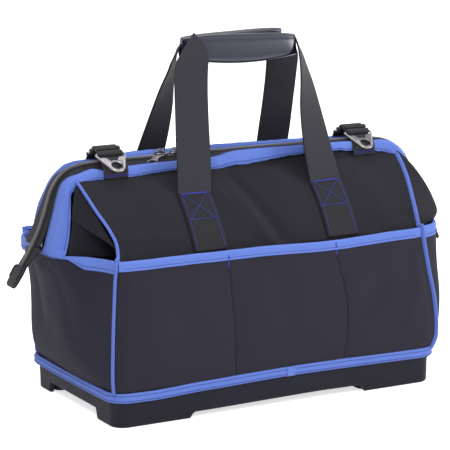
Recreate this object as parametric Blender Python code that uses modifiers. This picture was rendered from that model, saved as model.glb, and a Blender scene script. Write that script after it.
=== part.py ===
# Wide-mouth rigging bag: moulded tray base, outer pockets, steel-framed zip mouth, two webbing handles.
# Metres, +Z up, front towards -Y, origin on the floor under the middle of the bag.
import math
import bmesh
import bpy
from mathutils import Matrix, Vector

# Driving sizes of the body
BAG_LENGTH = 0.460
BAG_WIDTH = 0.240
CORNER_RADIUS = 0.032
TRAY_TOP_Z = 0.046
TRAY_WALL = 0.003
FOOT_DROP = 0.010
FOOT_LENGTH = 0.105
FOOT_WIDTH = 0.064
BINDING_THICKNESS = 0.004
BINDING_HEIGHT = 0.012
BINDING_OVERLAP = 0.001
FABRIC = 0.0025
BOARD = 0.004
FLOOR_BOARD = 0.005
POCKET_DEPTH = 0.0085
RIM_Z = 0.2083
RIM_LIP = 0.0010
WALL_DROP = 0.0043
WALL_BOW = 0.030
POCKET_BOW = 0.042
PIPE = 0.006
SPLIT_LEFT_X = -0.066
SPLIT_RIGHT_X = 0.092

# Driving sizes of the mouth frames and zip
FRAME_ROD = 0.006
FRAME_Y = 0.018
PIVOT_Z = 0.196
PIVOT_PIN = 0.0044
PIVOT_HEAD = 0.0084
EYE_DIAMETER = 0.0124
EYE_SHEET = 0.0064
PLATE_SHEET = 0.002
PLATE_LENGTH = 0.054
PLATE_HEIGHT = 0.0136
MOUTH_Z = 0.304
MOUTH_CORNER_X = 0.234
MOUTH_CORNER_BLEND = 0.024
CASING_DEPTH = 0.014
CASING_HEIGHT = 0.017
CASING_END_Z = 0.222
ZIP_TAPE = 0.0012
ZIP_TAPE_WIDTH = 0.0157
TEETH_WIDTH = 0.0028
TEETH_HEIGHT = 0.0032
ZIP_CORNER_GAP = 0.0225
ZIP_END_SHEET = 0.0016
TAIL_ROLL = 0.0022
TAIL_REACH = 0.023
TAIL_DROP = 0.037
CAP_LENGTH = 0.022
CAP_WIDTH = 0.027
CAP_HEIGHT = 0.0056

# Driving sizes of the upper panels and gussets
PANEL_FABRIC = 0.003
PANEL_SAG = 0.009
PANEL_BEAD = 0.0055
PANEL_INSET = 0.006
SEAM_HEIGHT = 0.0060
GUSSET_FABRIC = 0.0012
GUSSET_FOLD = 0.028

# Driving sizes of handles, rings and sliders
WEBBING_WIDTH = 0.046
WEBBING = 0.0025
HANDLE_X = 0.094
HANDLE_TOP_Z = 0.462
HANDLE_TOP_Y = 0.015
ANCHOR_SHARE = 0.66
HANDLE_BAR = 0.026
GRIP_LENGTH = 0.147
GRIP_HEIGHT = 0.036
GRIP_DEPTH = 0.013
RING_X = 0.178
TAB_WIDTH = 0.034
TAB_SHEET = 0.0018
ROLL_DIAMETER = 0.0092
RING_BAR = 0.0036
RING_SHEET = 0.0024
RING_LENGTH = 0.0345
RING_EYE = 0.0136
RING_NOSE = 0.0105
RING_SLOPE = 20.8
SLIDER_LEFT_X = -0.102
SLIDER_RIGHT_X = -0.082
SLIDER_SHEET = 0.002
BRIDGE_LENGTH = 0.010
BRIDGE_WIDTH = 0.0026
BRIDGE_HEIGHT = 0.0072
PULL_LENGTH = 0.027
PULL_SHEET = 0.0014

# Shared running clearance
CLEAR = 0.0003

# Derived sizes
HALF_L = BAG_LENGTH / 2.0
HALF_W = BAG_WIDTH / 2.0
TRAY_X = HALF_L - BINDING_THICKNESS
TRAY_Y = HALF_W - BINDING_THICKNESS
TRAY_RADIUS = CORNER_RADIUS - BINDING_THICKNESS
TRAY_FLOOR_Z = FOOT_DROP + TRAY_WALL
BINDING_TOP_Z = TRAY_TOP_Z + BINDING_OVERLAP
POCKET_FLOOR_Z = BINDING_TOP_Z + CLEAR
SHEET_TOP_Z = RIM_Z - BINDING_HEIGHT - CLEAR
WALL_FOOT_Z = POCKET_FLOOR_Z
WALL_TOP_Z = RIM_Z - WALL_DROP
SHEET_X = HALF_L - RIM_LIP
SHEET_Y = HALF_W - RIM_LIP
WALL_Y = SHEET_Y - FABRIC - POCKET_DEPTH
WALL_INNER_Y = WALL_Y - BOARD
END_WALL_X = TRAY_X - TRAY_WALL - CLEAR
POCKET_HALF_X = END_WALL_X + CLEAR / 3.0
END_WALL_HALF = WALL_INNER_Y - CLEAR
END_POCKET_HALF = SHEET_Y + RIM_LIP / 2.0 - PIPE - CLEAR
BOW_START_Z = BINDING_TOP_Z + 0.004

for stale in list(bpy.data.objects):
    bpy.data.objects.remove(stale, do_unlink=True)

PARTS = bpy.data.collections.new("rigging_bag")
CUTTERS = bpy.data.collections.new("cutters")
bpy.context.scene.collection.children.link(PARTS)
bpy.context.scene.collection.children.link(CUTTERS)

# Base colour, roughness and metallic value of each stuff
STUFFS = {
    "cloth": ((0.030, 0.029, 0.038), 0.85, 0.0),
    "binding": ((0.075, 0.150, 0.620), 0.65, 0.0),
    "webbing": ((0.034, 0.034, 0.042), 0.70, 0.0),
    "tray": ((0.028, 0.028, 0.036), 0.42, 0.0),
    "board": ((0.045, 0.045, 0.052), 0.80, 0.0),
    "steel": ((0.420, 0.415, 0.410), 0.30, 1.0),
    "teeth": ((0.160, 0.150, 0.145), 0.45, 0.2),
    "rubber": ((0.018, 0.018, 0.020), 0.50, 0.0),
    "grip": ((0.040, 0.042, 0.060), 0.28, 0.0),
}


def paint(thing, stuff):
    colour, roughness, metallic = STUFFS[stuff]
    surface = bpy.data.materials.new(thing.name + "_surface")
    surface.use_nodes = True
    shader = surface.node_tree.nodes["Principled BSDF"]
    shader.inputs["Base Color"].default_value = (*colour, 1.0)
    shader.inputs["Roughness"].default_value = roughness
    shader.inputs["Metallic"].default_value = metallic
    thing.data.materials.clear()
    thing.data.materials.append(surface)


def add_object(name, data, stuff):
    # A stuff of None makes a cutter or other construction helper
    thing = bpy.data.objects.new(name, data)
    if stuff is None:
        CUTTERS.objects.link(thing)
        thing.hide_render = True
        thing.display_type = "WIRE"
    else:
        PARTS.objects.link(thing)
        paint(thing, stuff)
    return thing


def mesh_from(name, shape):
    mesh = bpy.data.meshes.new(name)
    shape.to_mesh(mesh)
    shape.free()
    return mesh


def box(name, x_range, y_range, z_range, stuff):
    shape = bmesh.new()
    bmesh.ops.create_cube(shape, size=1.0)
    spans = [sorted(pair) for pair in (x_range, y_range, z_range)]
    bmesh.ops.scale(shape, vec=[high - low for low, high in spans], verts=shape.verts)
    thing = add_object(name, mesh_from(name, shape), stuff)
    thing.location = [(low + high) / 2.0 for low, high in spans]
    return thing


def round_edges(thing, width, segments=2):
    step = thing.modifiers.new("round_edges", "BEVEL")
    step.width = width
    step.segments = segments
    step.limit_method = "ANGLE"
    step.angle_limit = math.radians(60.0)


def cylinder_x(name, diameter, x_range, y, z, stuff, segments=16):
    shape = bmesh.new()
    low, high = sorted(x_range)
    bmesh.ops.create_cone(shape, cap_ends=True, segments=segments, radius1=diameter / 2.0,
                          radius2=diameter / 2.0, depth=high - low)
    mesh = mesh_from(name, shape)
    mesh.shade_smooth()
    mesh.set_sharp_from_angle(angle=math.radians(40.0))
    thing = add_object(name, mesh, stuff)
    thing.rotation_euler = (0.0, math.pi / 2.0, 0.0)
    thing.location = ((low + high) / 2.0, y, z)
    return thing


def curve_to_mesh(name, curve, matrix, stuff):
    # Make the curve a mesh with welded caps, so that it can be cut and joined
    guide = bpy.data.objects.new(name + "_curve", curve)
    CUTTERS.objects.link(guide)
    graph = bpy.context.evaluated_depsgraph_get()
    mesh = bpy.data.meshes.new_from_object(guide.evaluated_get(graph))
    bpy.data.objects.remove(guide, do_unlink=True)
    shape = bmesh.new()
    shape.from_mesh(mesh)
    bmesh.ops.remove_doubles(shape, verts=shape.verts, dist=1e-5)
    bmesh.ops.recalc_face_normals(shape, faces=shape.faces)
    shape.to_mesh(mesh)
    shape.free()
    mesh.name = name
    thing = add_object(name, mesh, stuff)
    thing.matrix_world = matrix
    return thing


def outline(name, loops, thickness, matrix, stuff):
    # Flat piece from closed outlines, the inner ones being holes
    curve = bpy.data.curves.new(name, "CURVE")
    curve.dimensions = "2D"
    curve.fill_mode = "BOTH"
    curve.extrude = thickness / 2.0
    for loop in loops:
        spline = curve.splines.new("POLY")
        spline.points.add(len(loop) - 1)
        for point, (u, v) in zip(spline.points, loop):
            point.co = (u, v, 0.0, 1.0)
        spline.use_cyclic_u = True
    return curve_to_mesh(name, curve, matrix, stuff)


def poly_curve(name, points):
    curve = bpy.data.curves.new(name, "CURVE")
    curve.dimensions = "3D"
    curve.use_fill_caps = True
    curve.bevel_resolution = 2
    spline = curve.splines.new("POLY")
    spline.points.add(len(points) - 1)
    for point, place in zip(spline.points, points):
        point.co = (*place, 1.0)
    return curve


def tube(name, points, diameter, stuff):
    curve = poly_curve(name, points)
    curve.bevel_depth = diameter / 2.0
    return curve_to_mesh(name, curve, Matrix.Identity(4), stuff)


def sheet(name, columns, rows, form, thickness, offset, stuff):
    # Open surface from a grid bent to form(u, v), given its thickness by Solidify
    shape = bmesh.new()
    bmesh.ops.create_grid(shape, x_segments=columns, y_segments=rows, size=0.5)
    for vert in shape.verts:
        vert.co = form(vert.co.x + 0.5, vert.co.y + 0.5)
    thing = add_object(name, mesh_from(name, shape), stuff)
    step = thing.modifiers.new("thickness", "SOLIDIFY")
    step.thickness = thickness
    step.offset = offset
    step.use_even_offset = True
    return thing


def boolean(target, helper, operation):
    step = target.modifiers.new(helper.name, "BOOLEAN")
    step.operation = operation
    step.solver = "EXACT"
    step.object = helper


def axes(origin, u_axis, v_axis):
    # Matrix that lays a flat outline along two directions at a point
    w_axis = u_axis.cross(v_axis)
    matrix = Matrix((u_axis, v_axis, w_axis)).transposed().to_4x4()
    matrix.translation = origin
    return matrix


def rounded(half_u, half_v, radius, steps, centre=(0.0, 0.0)):
    loop = []
    for turn, (su, sv) in enumerate(((1, 1), (-1, 1), (-1, -1), (1, -1))):
        for i in range(steps + 1):
            angle = math.radians(90.0 * turn + 90.0 * i / steps)
            loop.append((centre[0] + su * (half_u - radius) + radius * math.cos(angle),
                         centre[1] + sv * (half_v - radius) + radius * math.sin(angle)))
    return loop


def circle(diameter, steps, centre=(0.0, 0.0)):
    turns = [2.0 * math.pi * i / steps for i in range(steps)]
    return [(centre[0] + diameter / 2.0 * math.cos(a), centre[1] + diameter / 2.0 * math.sin(a)) for a in turns]


def pivot(name, point, parent=None):
    # Empty on a joint axis that carries the pieces of one moving body
    empty = bpy.data.objects.new(name, None)
    PARTS.objects.link(empty)
    empty.empty_display_size = 0.02
    empty.location = point
    bpy.context.view_layer.update()
    if parent:
        carry(parent, empty)
    return empty


def carry(parent, *pieces):
    bpy.context.view_layer.update()
    for piece in pieces:
        piece.parent = parent
        piece.matrix_parent_inverse = parent.matrix_world.inverted()


def smooth(value):
    share = min(1.0, max(0.0, value))
    return share * share * (3.0 - 2.0 * share)


def bow(y, z, half_width, amount):
    # Outward belly of a bag end at one point of its height and width
    if abs(y) >= half_width:
        return 0.0
    rise = smooth((z - BOW_START_Z) / (RIM_Z - BOW_START_Z))
    return amount * rise * math.cos(math.pi * y / (2.0 * half_width))


X_AXIS = Vector((1.0, 0.0, 0.0))
Y_AXIS = Vector((0.0, 1.0, 0.0))
Z_AXIS = Vector((0.0, 0.0, 1.0))
ENDS = (("left", -1.0), ("right", 1.0))
FACES = (("front", -1.0), ("back", 1.0))


def flat_at(z):
    return axes(Vector((0.0, 0.0, z)), X_AXIS, Y_AXIS)


def across_at(x):
    # Outline given as Y and Z, extruded along X
    return axes(Vector((x, 0.0, 0.0)), Y_AXIS, Z_AXIS)


# Moulded tray with four corner feet
tray = outline("base_tray", [rounded(TRAY_X, TRAY_Y, TRAY_RADIUS, 5)], TRAY_TOP_Z, flat_at(TRAY_TOP_Z / 2.0), "tray")
hollow_depth = TRAY_TOP_Z - TRAY_FLOOR_Z + 0.010
hollow = outline("tray_hollow", [rounded(TRAY_X - TRAY_WALL, TRAY_Y - TRAY_WALL, TRAY_RADIUS - TRAY_WALL, 5)],
                 hollow_depth, flat_at(TRAY_FLOOR_Z + hollow_depth / 2.0), None)
boolean(tray, hollow, "DIFFERENCE")
lane_x = TRAY_X - FOOT_LENGTH
lane_y = TRAY_Y - FOOT_WIDTH
boolean(tray, box("lane_across", (-lane_x, lane_x), (-HALF_W, HALF_W), (-0.005, FOOT_DROP), None), "DIFFERENCE")
boolean(tray, box("lane_left", (-HALF_L, -lane_x + 0.001), (-lane_y, lane_y), (-0.006, FOOT_DROP), None), "DIFFERENCE")
boolean(tray, box("lane_right", (lane_x - 0.001, HALF_L), (-lane_y, lane_y), (-0.006, FOOT_DROP), None), "DIFFERENCE")
inner_x = TRAY_X - TRAY_WALL - CLEAR
inner_y = TRAY_Y - TRAY_WALL - CLEAR
outline("floor_board", [rounded(inner_x, inner_y, TRAY_RADIUS - TRAY_WALL - CLEAR, 5)], FLOOR_BOARD,
        flat_at(TRAY_FLOOR_Z + CLEAR + FLOOR_BOARD / 2.0), "board")
outline("base_binding",
        [rounded(HALF_L, HALF_W, CORNER_RADIUS, 5),
         rounded(TRAY_X + CLEAR, TRAY_Y + CLEAR, TRAY_RADIUS + CLEAR, 5)],
        BINDING_HEIGHT, flat_at(BINDING_TOP_Z - BINDING_HEIGHT / 2.0), "binding")


def open_box(name, place, cuts, thickness, stuff):
    # Pocket from a cube without its top and its wall side, bent by place and thickened inwards
    shape = bmesh.new()
    bmesh.ops.create_cube(shape, size=1.0)
    gone = [f for f in shape.faces if f.normal.z > 0.9 or f.normal.x < -0.9]
    bmesh.ops.delete(shape, geom=gone, context="FACES")
    if cuts:
        bmesh.ops.subdivide_edges(shape, edges=shape.edges, cuts=cuts, use_grid_fill=True)
    for vert in shape.verts:
        vert.co = place(vert.co.x + 0.5, vert.co.y * 2.0, vert.co.z + 0.5)
    shape.normal_update()
    front = place(1.0, 0.0, 0.5) - place(0.0, 0.0, 0.5)
    farthest = max(shape.faces, key=lambda face: face.calc_center_median().dot(front))
    if farthest.normal.dot(front) < 0.0:
        bmesh.ops.reverse_faces(shape, faces=shape.faces)
    thing = add_object(name, mesh_from(name, shape), stuff)
    step = thing.modifiers.new("thickness", "SOLIDIFY")
    step.thickness = thickness
    step.offset = -1.0
    step.use_even_offset = True
    return thing


# Front and back walls, pockets and rim bindings
wall_x = END_WALL_X - BOARD - CLEAR
for label, side in FACES:
    box(label + "_wall", (-wall_x, wall_x), (side * WALL_Y, side * WALL_INNER_Y), (WALL_FOOT_Z, WALL_TOP_Z), "cloth")

    def pocket_place(depth, across, height, side=side):
        y = WALL_Y + CLEAR + (SHEET_Y - WALL_Y - CLEAR) * depth
        return Vector((across * POCKET_HALF_X, side * y, POCKET_FLOOR_Z + (SHEET_TOP_Z - POCKET_FLOOR_Z) * height))

    pocket = open_box(label + "_pocket", pocket_place, 0, FABRIC, "cloth")
    for number, split in enumerate((SPLIT_LEFT_X, SPLIT_RIGHT_X)):
        rib = box("%s_split_%d" % (label, number), (split - FABRIC / 2.0, split + FABRIC / 2.0),
                  (side * (SHEET_Y - FABRIC / 2.0), side * (WALL_Y + 2.0 * CLEAR)),
                  (POCKET_FLOOR_Z + FABRIC / 2.0, SHEET_TOP_Z - CLEAR), None)
        boolean(pocket, rib, "UNION")
    rim = box(label + "_rim_binding", (-POCKET_HALF_X, POCKET_HALF_X),
              (side * (SHEET_Y + RIM_LIP), side * (SHEET_Y - FABRIC - RIM_LIP)), (RIM_Z - BINDING_HEIGHT, RIM_Z), "binding")
    round_edges(rim, 0.0008, 1)

# Bowed end walls, end pockets and rim bindings
for label, side in ENDS:
    def wall_form(u, v, side=side):
        y = side * END_WALL_HALF * (2.0 * u - 1.0)
        z = WALL_FOOT_Z + (WALL_TOP_Z - WALL_FOOT_Z) * v
        return Vector((side * (END_WALL_X + bow(y, z, END_WALL_HALF, WALL_BOW)), y, z))

    sheet(label + "_wall", 12, 9, wall_form, BOARD, -1.0, "cloth")

    def end_pocket_place(depth, across, height, side=side):
        y = side * across * END_POCKET_HALF
        z = POCKET_FLOOR_Z + (SHEET_TOP_Z - POCKET_FLOOR_Z) * height
        near = END_WALL_X + 2.0 * CLEAR + bow(y, z, END_WALL_HALF, WALL_BOW)
        far = SHEET_X + bow(y, z, END_POCKET_HALF, POCKET_BOW)
        return Vector((side * (near + (far - near) * depth), y, z))

    open_box(label + "_pocket", end_pocket_place, 6, FABRIC, "cloth")

    def rim_form(u, v, side=side):
        y = side * END_POCKET_HALF * (2.0 * u - 1.0)
        z = RIM_Z - BINDING_HEIGHT * (1.0 - v)
        return Vector((side * (SHEET_X + RIM_LIP + bow(y, z, END_POCKET_HALF, POCKET_BOW)), y, z))

    sheet(label + "_rim_binding", 14, 1, rim_form, FABRIC + 2.0 * RIM_LIP, -1.0, "binding")

# Bound vertical corner seams
pipe_x = POCKET_HALF_X + CLEAR
pipe_y = SHEET_Y + RIM_LIP / 2.0
for x_label, x_side in ENDS:
    for y_label, y_side in FACES:
        seam = box("corner_piping_%s_%s" % (y_label, x_label), (x_side * pipe_x, x_side * (pipe_x + PIPE)),
                   (y_side * (pipe_y - PIPE), y_side * pipe_y), (POCKET_FLOOR_Z, RIM_Z), "binding")
        round_edges(seam, 0.0018, 2)

# Riveted hinge plates that carry the feet of both frames
PLATE_X = END_WALL_X + bow(0.0, PIVOT_Z, END_WALL_HALF, WALL_BOW) + 2.0 * CLEAR
EYE_X = PLATE_X + PLATE_SHEET + CLEAR
HEAD_X = EYE_X + EYE_SHEET + CLEAR
HEAD_SHEET = 0.0016
for label, side in ENDS:
    plate = outline("hinge_plate_" + label, [rounded(PLATE_LENGTH / 2.0, PLATE_HEIGHT / 2.0, 0.003, 3, (0.0, PIVOT_Z))],
                    PLATE_SHEET, across_at(side * (PLATE_X + PLATE_SHEET / 2.0)), "steel")
    for y_label, y_side in FACES:
        pin = cylinder_x("pin_%s_%s" % (y_label, label), PIVOT_PIN,
                         (side * (PLATE_X + PLATE_SHEET / 2.0), side * (HEAD_X + HEAD_SHEET / 2.0)),
                         y_side * FRAME_Y, PIVOT_Z, None)
        head = cylinder_x("head_%s_%s" % (y_label, label), PIVOT_HEAD, (side * HEAD_X, side * (HEAD_X + HEAD_SHEET)),
                          y_side * FRAME_Y, PIVOT_Z, None)
        boolean(plate, pin, "UNION")
        boolean(plate, head, "UNION")

# Centre line of a frame from the left pivot over the mouth to the right pivot
foot = Vector((-(EYE_X + EYE_SHEET / 2.0), 0.0, PIVOT_Z))
ankle = foot + Vector((0.0, 0.0, PLATE_HEIGHT / 2.0 + FRAME_ROD / 2.0))
corner = Vector((-MOUTH_CORNER_X, 0.0, MOUTH_Z))
bend_start = corner + (ankle - corner).normalized() * MOUTH_CORNER_BLEND
bend_end = corner + Vector((MOUTH_CORNER_BLEND, 0.0, 0.0))
bend = [bend_start * (1 - t) ** 2 + corner * 2 * t * (1 - t) + bend_end * t ** 2 for t in [i / 6.0 for i in range(7)]]
share = (CASING_END_Z - ankle.z) / (bend_start.z - ankle.z)
casing_end = ankle.lerp(bend_start, share)


def both_ends(points):
    return points + [Vector((-p.x, p.y, p.z)) for p in points[::-1]]


def moved(points, y):
    return [Vector((p.x, p.y + y, p.z)) for p in points]


# Outline of an upper panel across the bag, for the front side
SEAM_Y = FRAME_Y + CASING_DEPTH / 2.0
panel_foot = Vector((-(WALL_Y - 0.002), RIM_Z - CLEAR))
panel_head = Vector((-(SEAM_Y + CLEAR + PANEL_FABRIC), MOUTH_Z - CASING_HEIGHT / 2.0 - SEAM_HEIGHT))
chord = panel_head - panel_foot
outward = Vector((-chord.y, chord.x)).normalized()
panel_half = HALF_L - PANEL_INSET
PANEL_ROWS = 10


def panel_point(share):
    # Point of the outer face between the rim and the mouth seam
    return panel_foot + chord * share + outward * (4.0 * PANEL_SAG * share * (1.0 - share))


def panel_normal(share):
    step = panel_point(min(1.0, share + 0.01)) - panel_point(max(0.0, share - 0.01))
    return Vector((-step.y, step.x)).normalized()


def panel_offset(share, distance):
    return panel_point(share) + panel_normal(share) * distance


for y_label, y_side in FACES:
    mouth = pivot("mouth_%s_axis" % y_label, (0.0, y_side * FRAME_Y, PIVOT_Z))

    # Steel frame with flattened eyes on the pivots
    rod_line = moved(both_ends([foot + Vector((0.0, 0.0, PIVOT_PIN / 2.0 + 0.001)), ankle] + bend), y_side * FRAME_Y)
    rod = tube("frame_" + y_label, rod_line, FRAME_ROD, "steel")
    for x_label, x_side in ENDS:
        tag = "%s_%s" % (y_label, x_label)
        eye = cylinder_x("eye_" + tag, EYE_DIAMETER, (x_side * EYE_X, x_side * (EYE_X + EYE_SHEET)),
                         y_side * FRAME_Y, PIVOT_Z, None)
        hole = cylinder_x("eye_hole_" + tag, PIVOT_PIN + 2.0 * CLEAR,
                          (x_side * (EYE_X - 0.004), x_side * (EYE_X + EYE_SHEET + 0.004)),
                          y_side * FRAME_Y, PIVOT_Z, None)
        boolean(rod, eye, "UNION")
        boolean(rod, hole, "DIFFERENCE")
    carry(mouth, rod)

    # Fabric casing round the frame, from a profile run along the same line
    profile = bpy.data.curves.new("casing_profile_" + y_label, "CURVE")
    profile.dimensions = "2D"
    spline = profile.splines.new("POLY")
    ring = rounded(CASING_HEIGHT / 2.0, CASING_DEPTH / 2.0, 0.004, 2)
    spline.points.add(len(ring) - 1)
    for point, (u, v) in zip(spline.points, ring):
        point.co = (u, v, 0.0, 1.0)
    spline.use_cyclic_u = True
    profile_guide = add_object("casing_profile_" + y_label, profile, None)
    cover_line = both_ends([casing_end] + bend)
    run = poly_curve("casing_" + y_label, [(p.x, p.z, 0.0) for p in cover_line])
    run.dimensions = "2D"
    run.fill_mode = "NONE"
    run.bevel_mode = "OBJECT"
    run.bevel_object = profile_guide
    casing = curve_to_mesh("casing_" + y_label, run, axes(Vector((0.0, y_side * FRAME_Y, 0.0)), X_AXIS, Z_AXIS), "binding")
    bore_line = moved(both_ends([ankle] + bend), y_side * FRAME_Y)
    boolean(casing, tube("casing_bore_" + y_label, bore_line, FRAME_ROD + 2.0 * CLEAR, None), "DIFFERENCE")
    carry(mouth, casing)

    # One half of the zip, tape and teeth
    tape_z = MOUTH_Z + CASING_HEIGHT / 2.0 + CLEAR
    zip_half_length = MOUTH_CORNER_X - ZIP_CORNER_GAP
    section = [(0.0, 0.0), (ZIP_TAPE_WIDTH, 0.0), (ZIP_TAPE_WIDTH, ZIP_TAPE), (TEETH_WIDTH, ZIP_TAPE),
               (TEETH_WIDTH, TEETH_HEIGHT), (0.0, TEETH_HEIGHT)]
    zip_half = outline("zip_half_" + y_label, [[(y_side * (u + CLEAR), tape_z + v) for u, v in section]],
                       2.0 * zip_half_length, across_at(0.0), "teeth")
    carry(mouth, zip_half)

    # Upper panel with a bound bead on both ends
    def panel_form(u, v, y_side=y_side):
        x = -y_side * panel_half * (2.0 * u - 1.0)
        row = v * (PANEL_ROWS + 1)
        if row > PANEL_ROWS + 0.5:
            point = panel_head + Vector((0.0, SEAM_HEIGHT))
        else:
            point = panel_point(row / PANEL_ROWS)
        return Vector((x, -y_side * point.x, point.y))

    panel = sheet("upper_panel_" + y_label, 1, PANEL_ROWS + 1, panel_form, PANEL_FABRIC, -1.0, "cloth")
    for x_label, x_side in ENDS:
        bead_x = x_side * (panel_half + PANEL_BEAD * 0.28)
        points = [panel_offset(0.99 * i / PANEL_ROWS + 0.003, -PANEL_FABRIC / 2.0) for i in range(PANEL_ROWS + 1)]
        bead = tube("bead_%s_%s" % (y_label, x_label), [Vector((bead_x, -y_side * p.x, p.y)) for p in points],
                    PANEL_BEAD, None)
        boolean(panel, bead, "UNION")
    carry(mouth, panel)

    # Webbing sewn on the panel below each handle leg
    for x_label, x_side in ENDS:
        def anchor_form(u, v, y_side=y_side, x_side=x_side):
            point = panel_offset(0.02 + (ANCHOR_SHARE - 0.02) * v, CLEAR)
            return Vector((x_side * HANDLE_X - y_side * WEBBING_WIDTH * (u - 0.5), -y_side * point.x, point.y))

        carry(mouth, sheet("handle_anchor_%s_%s" % (y_label, x_label), 1, 6, anchor_form, WEBBING, 1.0, "webbing"))

    # Handle strap in one flat plane, hinged at the top of its sewn ends
    slope = (panel_point(ANCHOR_SHARE) - panel_point(ANCHOR_SHARE - 0.02)).normalized()
    base = panel_offset(ANCHOR_SHARE, CLEAR + WEBBING / 2.0) + slope * (WEBBING / 2.0 + CLEAR)
    handle_foot = Vector((0.0, -y_side * base.x, base.y))
    handle_head = Vector((0.0, y_side * HANDLE_TOP_Y, HANDLE_TOP_Z))
    up = (handle_head - handle_foot).normalized()
    reach = (handle_head - handle_foot).length
    crown = reach - (GRIP_HEIGHT - HANDLE_BAR) / 2.0
    bar_low = crown - HANDLE_BAR
    grip_half = GRIP_LENGTH / 2.0
    outer_side = [(HANDLE_X + WEBBING_WIDTH / 2.0, 0.0), (grip_half + 0.0245, bar_low - 0.022),
                  (grip_half + 0.017, bar_low + 0.010), (grip_half + 0.006, crown)]
    inner_side = [(grip_half + 0.0008, bar_low), (grip_half + 0.0008, bar_low - 0.0075),
                  (grip_half - 0.018, bar_low - 0.045), (HANDLE_X - WEBBING_WIDTH / 2.0, 0.0)]
    loop = outer_side + [(-u, v) for u, v in outer_side[::-1]]
    loop += [(-u, v) for u, v in inner_side[::-1]] + inner_side
    swing = pivot("handle_%s_axis" % y_label, handle_foot, mouth)
    strap = outline("handle_" + y_label, [loop], WEBBING, axes(handle_foot, X_AXIS, up), "webbing")

    # Padded grip round the top of the strap
    shape = bmesh.new()
    bmesh.ops.create_cone(shape, cap_ends=True, segments=20, radius1=0.5, radius2=0.5, depth=1.0)
    bmesh.ops.rotate(shape, matrix=Matrix.Rotation(math.pi / 2.0, 3, "Y"), verts=shape.verts)
    bmesh.ops.scale(shape, vec=(GRIP_LENGTH, GRIP_HEIGHT, GRIP_DEPTH), verts=shape.verts)
    grip = add_object("grip_" + y_label, mesh_from("grip_" + y_label, shape), "grip")
    grip_centre = handle_foot + up * (bar_low + HANDLE_BAR / 2.0)
    grip.matrix_world = axes(grip_centre, X_AXIS, up)
    round_edges(grip, 0.0022, 2)
    slot = box("grip_slot_" + y_label, (-grip_half - 0.004, grip_half + 0.004),
               (-HANDLE_BAR / 2.0 - CLEAR, HANDLE_BAR / 2.0 + CLEAR), (-WEBBING / 2.0 - CLEAR, WEBBING / 2.0 + CLEAR), None)
    slot.matrix_world = axes(grip_centre, X_AXIS, up)
    boolean(grip, slot, "DIFFERENCE")
    carry(swing, strap, grip)

    # Webbing tabs over the casing, each with a roll that holds a flat triangular ring
    roll_y = FRAME_Y - 0.006
    roll_z = MOUTH_Z + CASING_HEIGHT / 2.0 + ROLL_DIAMETER
    for x_label, x_side in ENDS:
        tag = "%s_%s" % (y_label, x_label)
        ring_x = x_side * RING_X
        line = [(SEAM_Y + 0.0014, MOUTH_Z - CASING_HEIGHT * 0.40), (SEAM_Y + 0.0014, MOUTH_Z + CASING_HEIGHT * 0.26),
                (SEAM_Y - 0.0010, MOUTH_Z + CASING_HEIGHT * 0.61), (roll_y + 0.0050, roll_z - 0.0052),
                (roll_y + 0.0002, roll_z - 0.0036)]

        def tab_form(u, v, line=line, ring_x=ring_x, y_side=y_side):
            y, z = line[int(round(v * (len(line) - 1)))]
            return Vector((ring_x - y_side * TAB_WIDTH * (u - 0.5), y_side * y, z))

        tab = sheet("ring_tab_" + tag, 1, len(line) - 1, tab_form, TAB_SHEET, 0.0, "webbing")
        span = (ring_x - TAB_WIDTH / 2.0, ring_x + TAB_WIDTH / 2.0)
        boolean(tab, cylinder_x("roll_" + tag, ROLL_DIAMETER, span, y_side * roll_y, roll_z, None), "UNION")
        bore_span = (span[0] - 0.003, span[1] + 0.003)
        bore = cylinder_x("roll_bore_" + tag, RING_BAR + 0.0014, bore_span, y_side * roll_y, roll_z, None)
        boolean(tab, bore, "DIFFERENCE")
        carry(mouth, tab)

        slope = math.radians(RING_SLOPE)
        hub = Vector((ring_x, y_side * roll_y, roll_z))
        fall = Vector((0.0, y_side * math.cos(slope), -math.sin(slope)))
        arm = TAB_WIDTH / 2.0 + 0.004
        gap = TAB_WIDTH / 2.0 + 2.0 * CLEAR
        eye_v = RING_LENGTH - RING_NOSE
        nose = [(RING_NOSE * math.cos(math.radians(a)), eye_v + RING_NOSE * math.sin(math.radians(a)))
                for a in (20, 45, 70, 90, 110, 135, 160)]
        edge = [(-arm, -RING_BAR / 2.0), (arm, -RING_BAR / 2.0), (arm, RING_BAR)] + nose + [(-arm, RING_BAR)]
        slot_low = eye_v - RING_EYE / 2.0 - 0.0022
        slot = [(-gap, RING_BAR / 2.0), (gap, RING_BAR / 2.0), (gap, ROLL_DIAMETER / 2.0 + 2.0 * CLEAR),
                (gap * 0.48, slot_low - 0.0015), (0.0, slot_low), (-gap * 0.48, slot_low - 0.0015),
                (-gap, ROLL_DIAMETER / 2.0 + 2.0 * CLEAR)]
        ring_swing = pivot("ring_%s_axis" % tag, hub, mouth)
        carry(ring_swing, outline("ring_" + tag, [edge, slot, circle(RING_EYE, 20, (0.0, eye_v))], RING_SHEET,
                                  axes(hub, X_AXIS, fall), "steel"))

        # Folded end gusset between panel edge and frame leg
        low = WALL_TOP_Z + 0.0040
        inner_foot = panel_offset(0.0, -0.0066)
        inner_head = panel_offset(0.93, -0.0075)
        leg_x = -casing_end.x - 0.001
        leg_y = SEAM_Y + 0.0016
        corners = [Vector((panel_half + 0.002, -inner_foot.x, low)), Vector((panel_half + 0.002, -inner_head.x, inner_head.y)),
                   Vector((-bend_start.x, leg_y, bend_start.z)), Vector((leg_x, leg_y, low))]
        fold = Vector((HALF_L - GUSSET_FOLD, (WALL_Y + FRAME_Y) / 2.0, (RIM_Z + MOUTH_Z) / 2.0 - 0.016))

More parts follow.
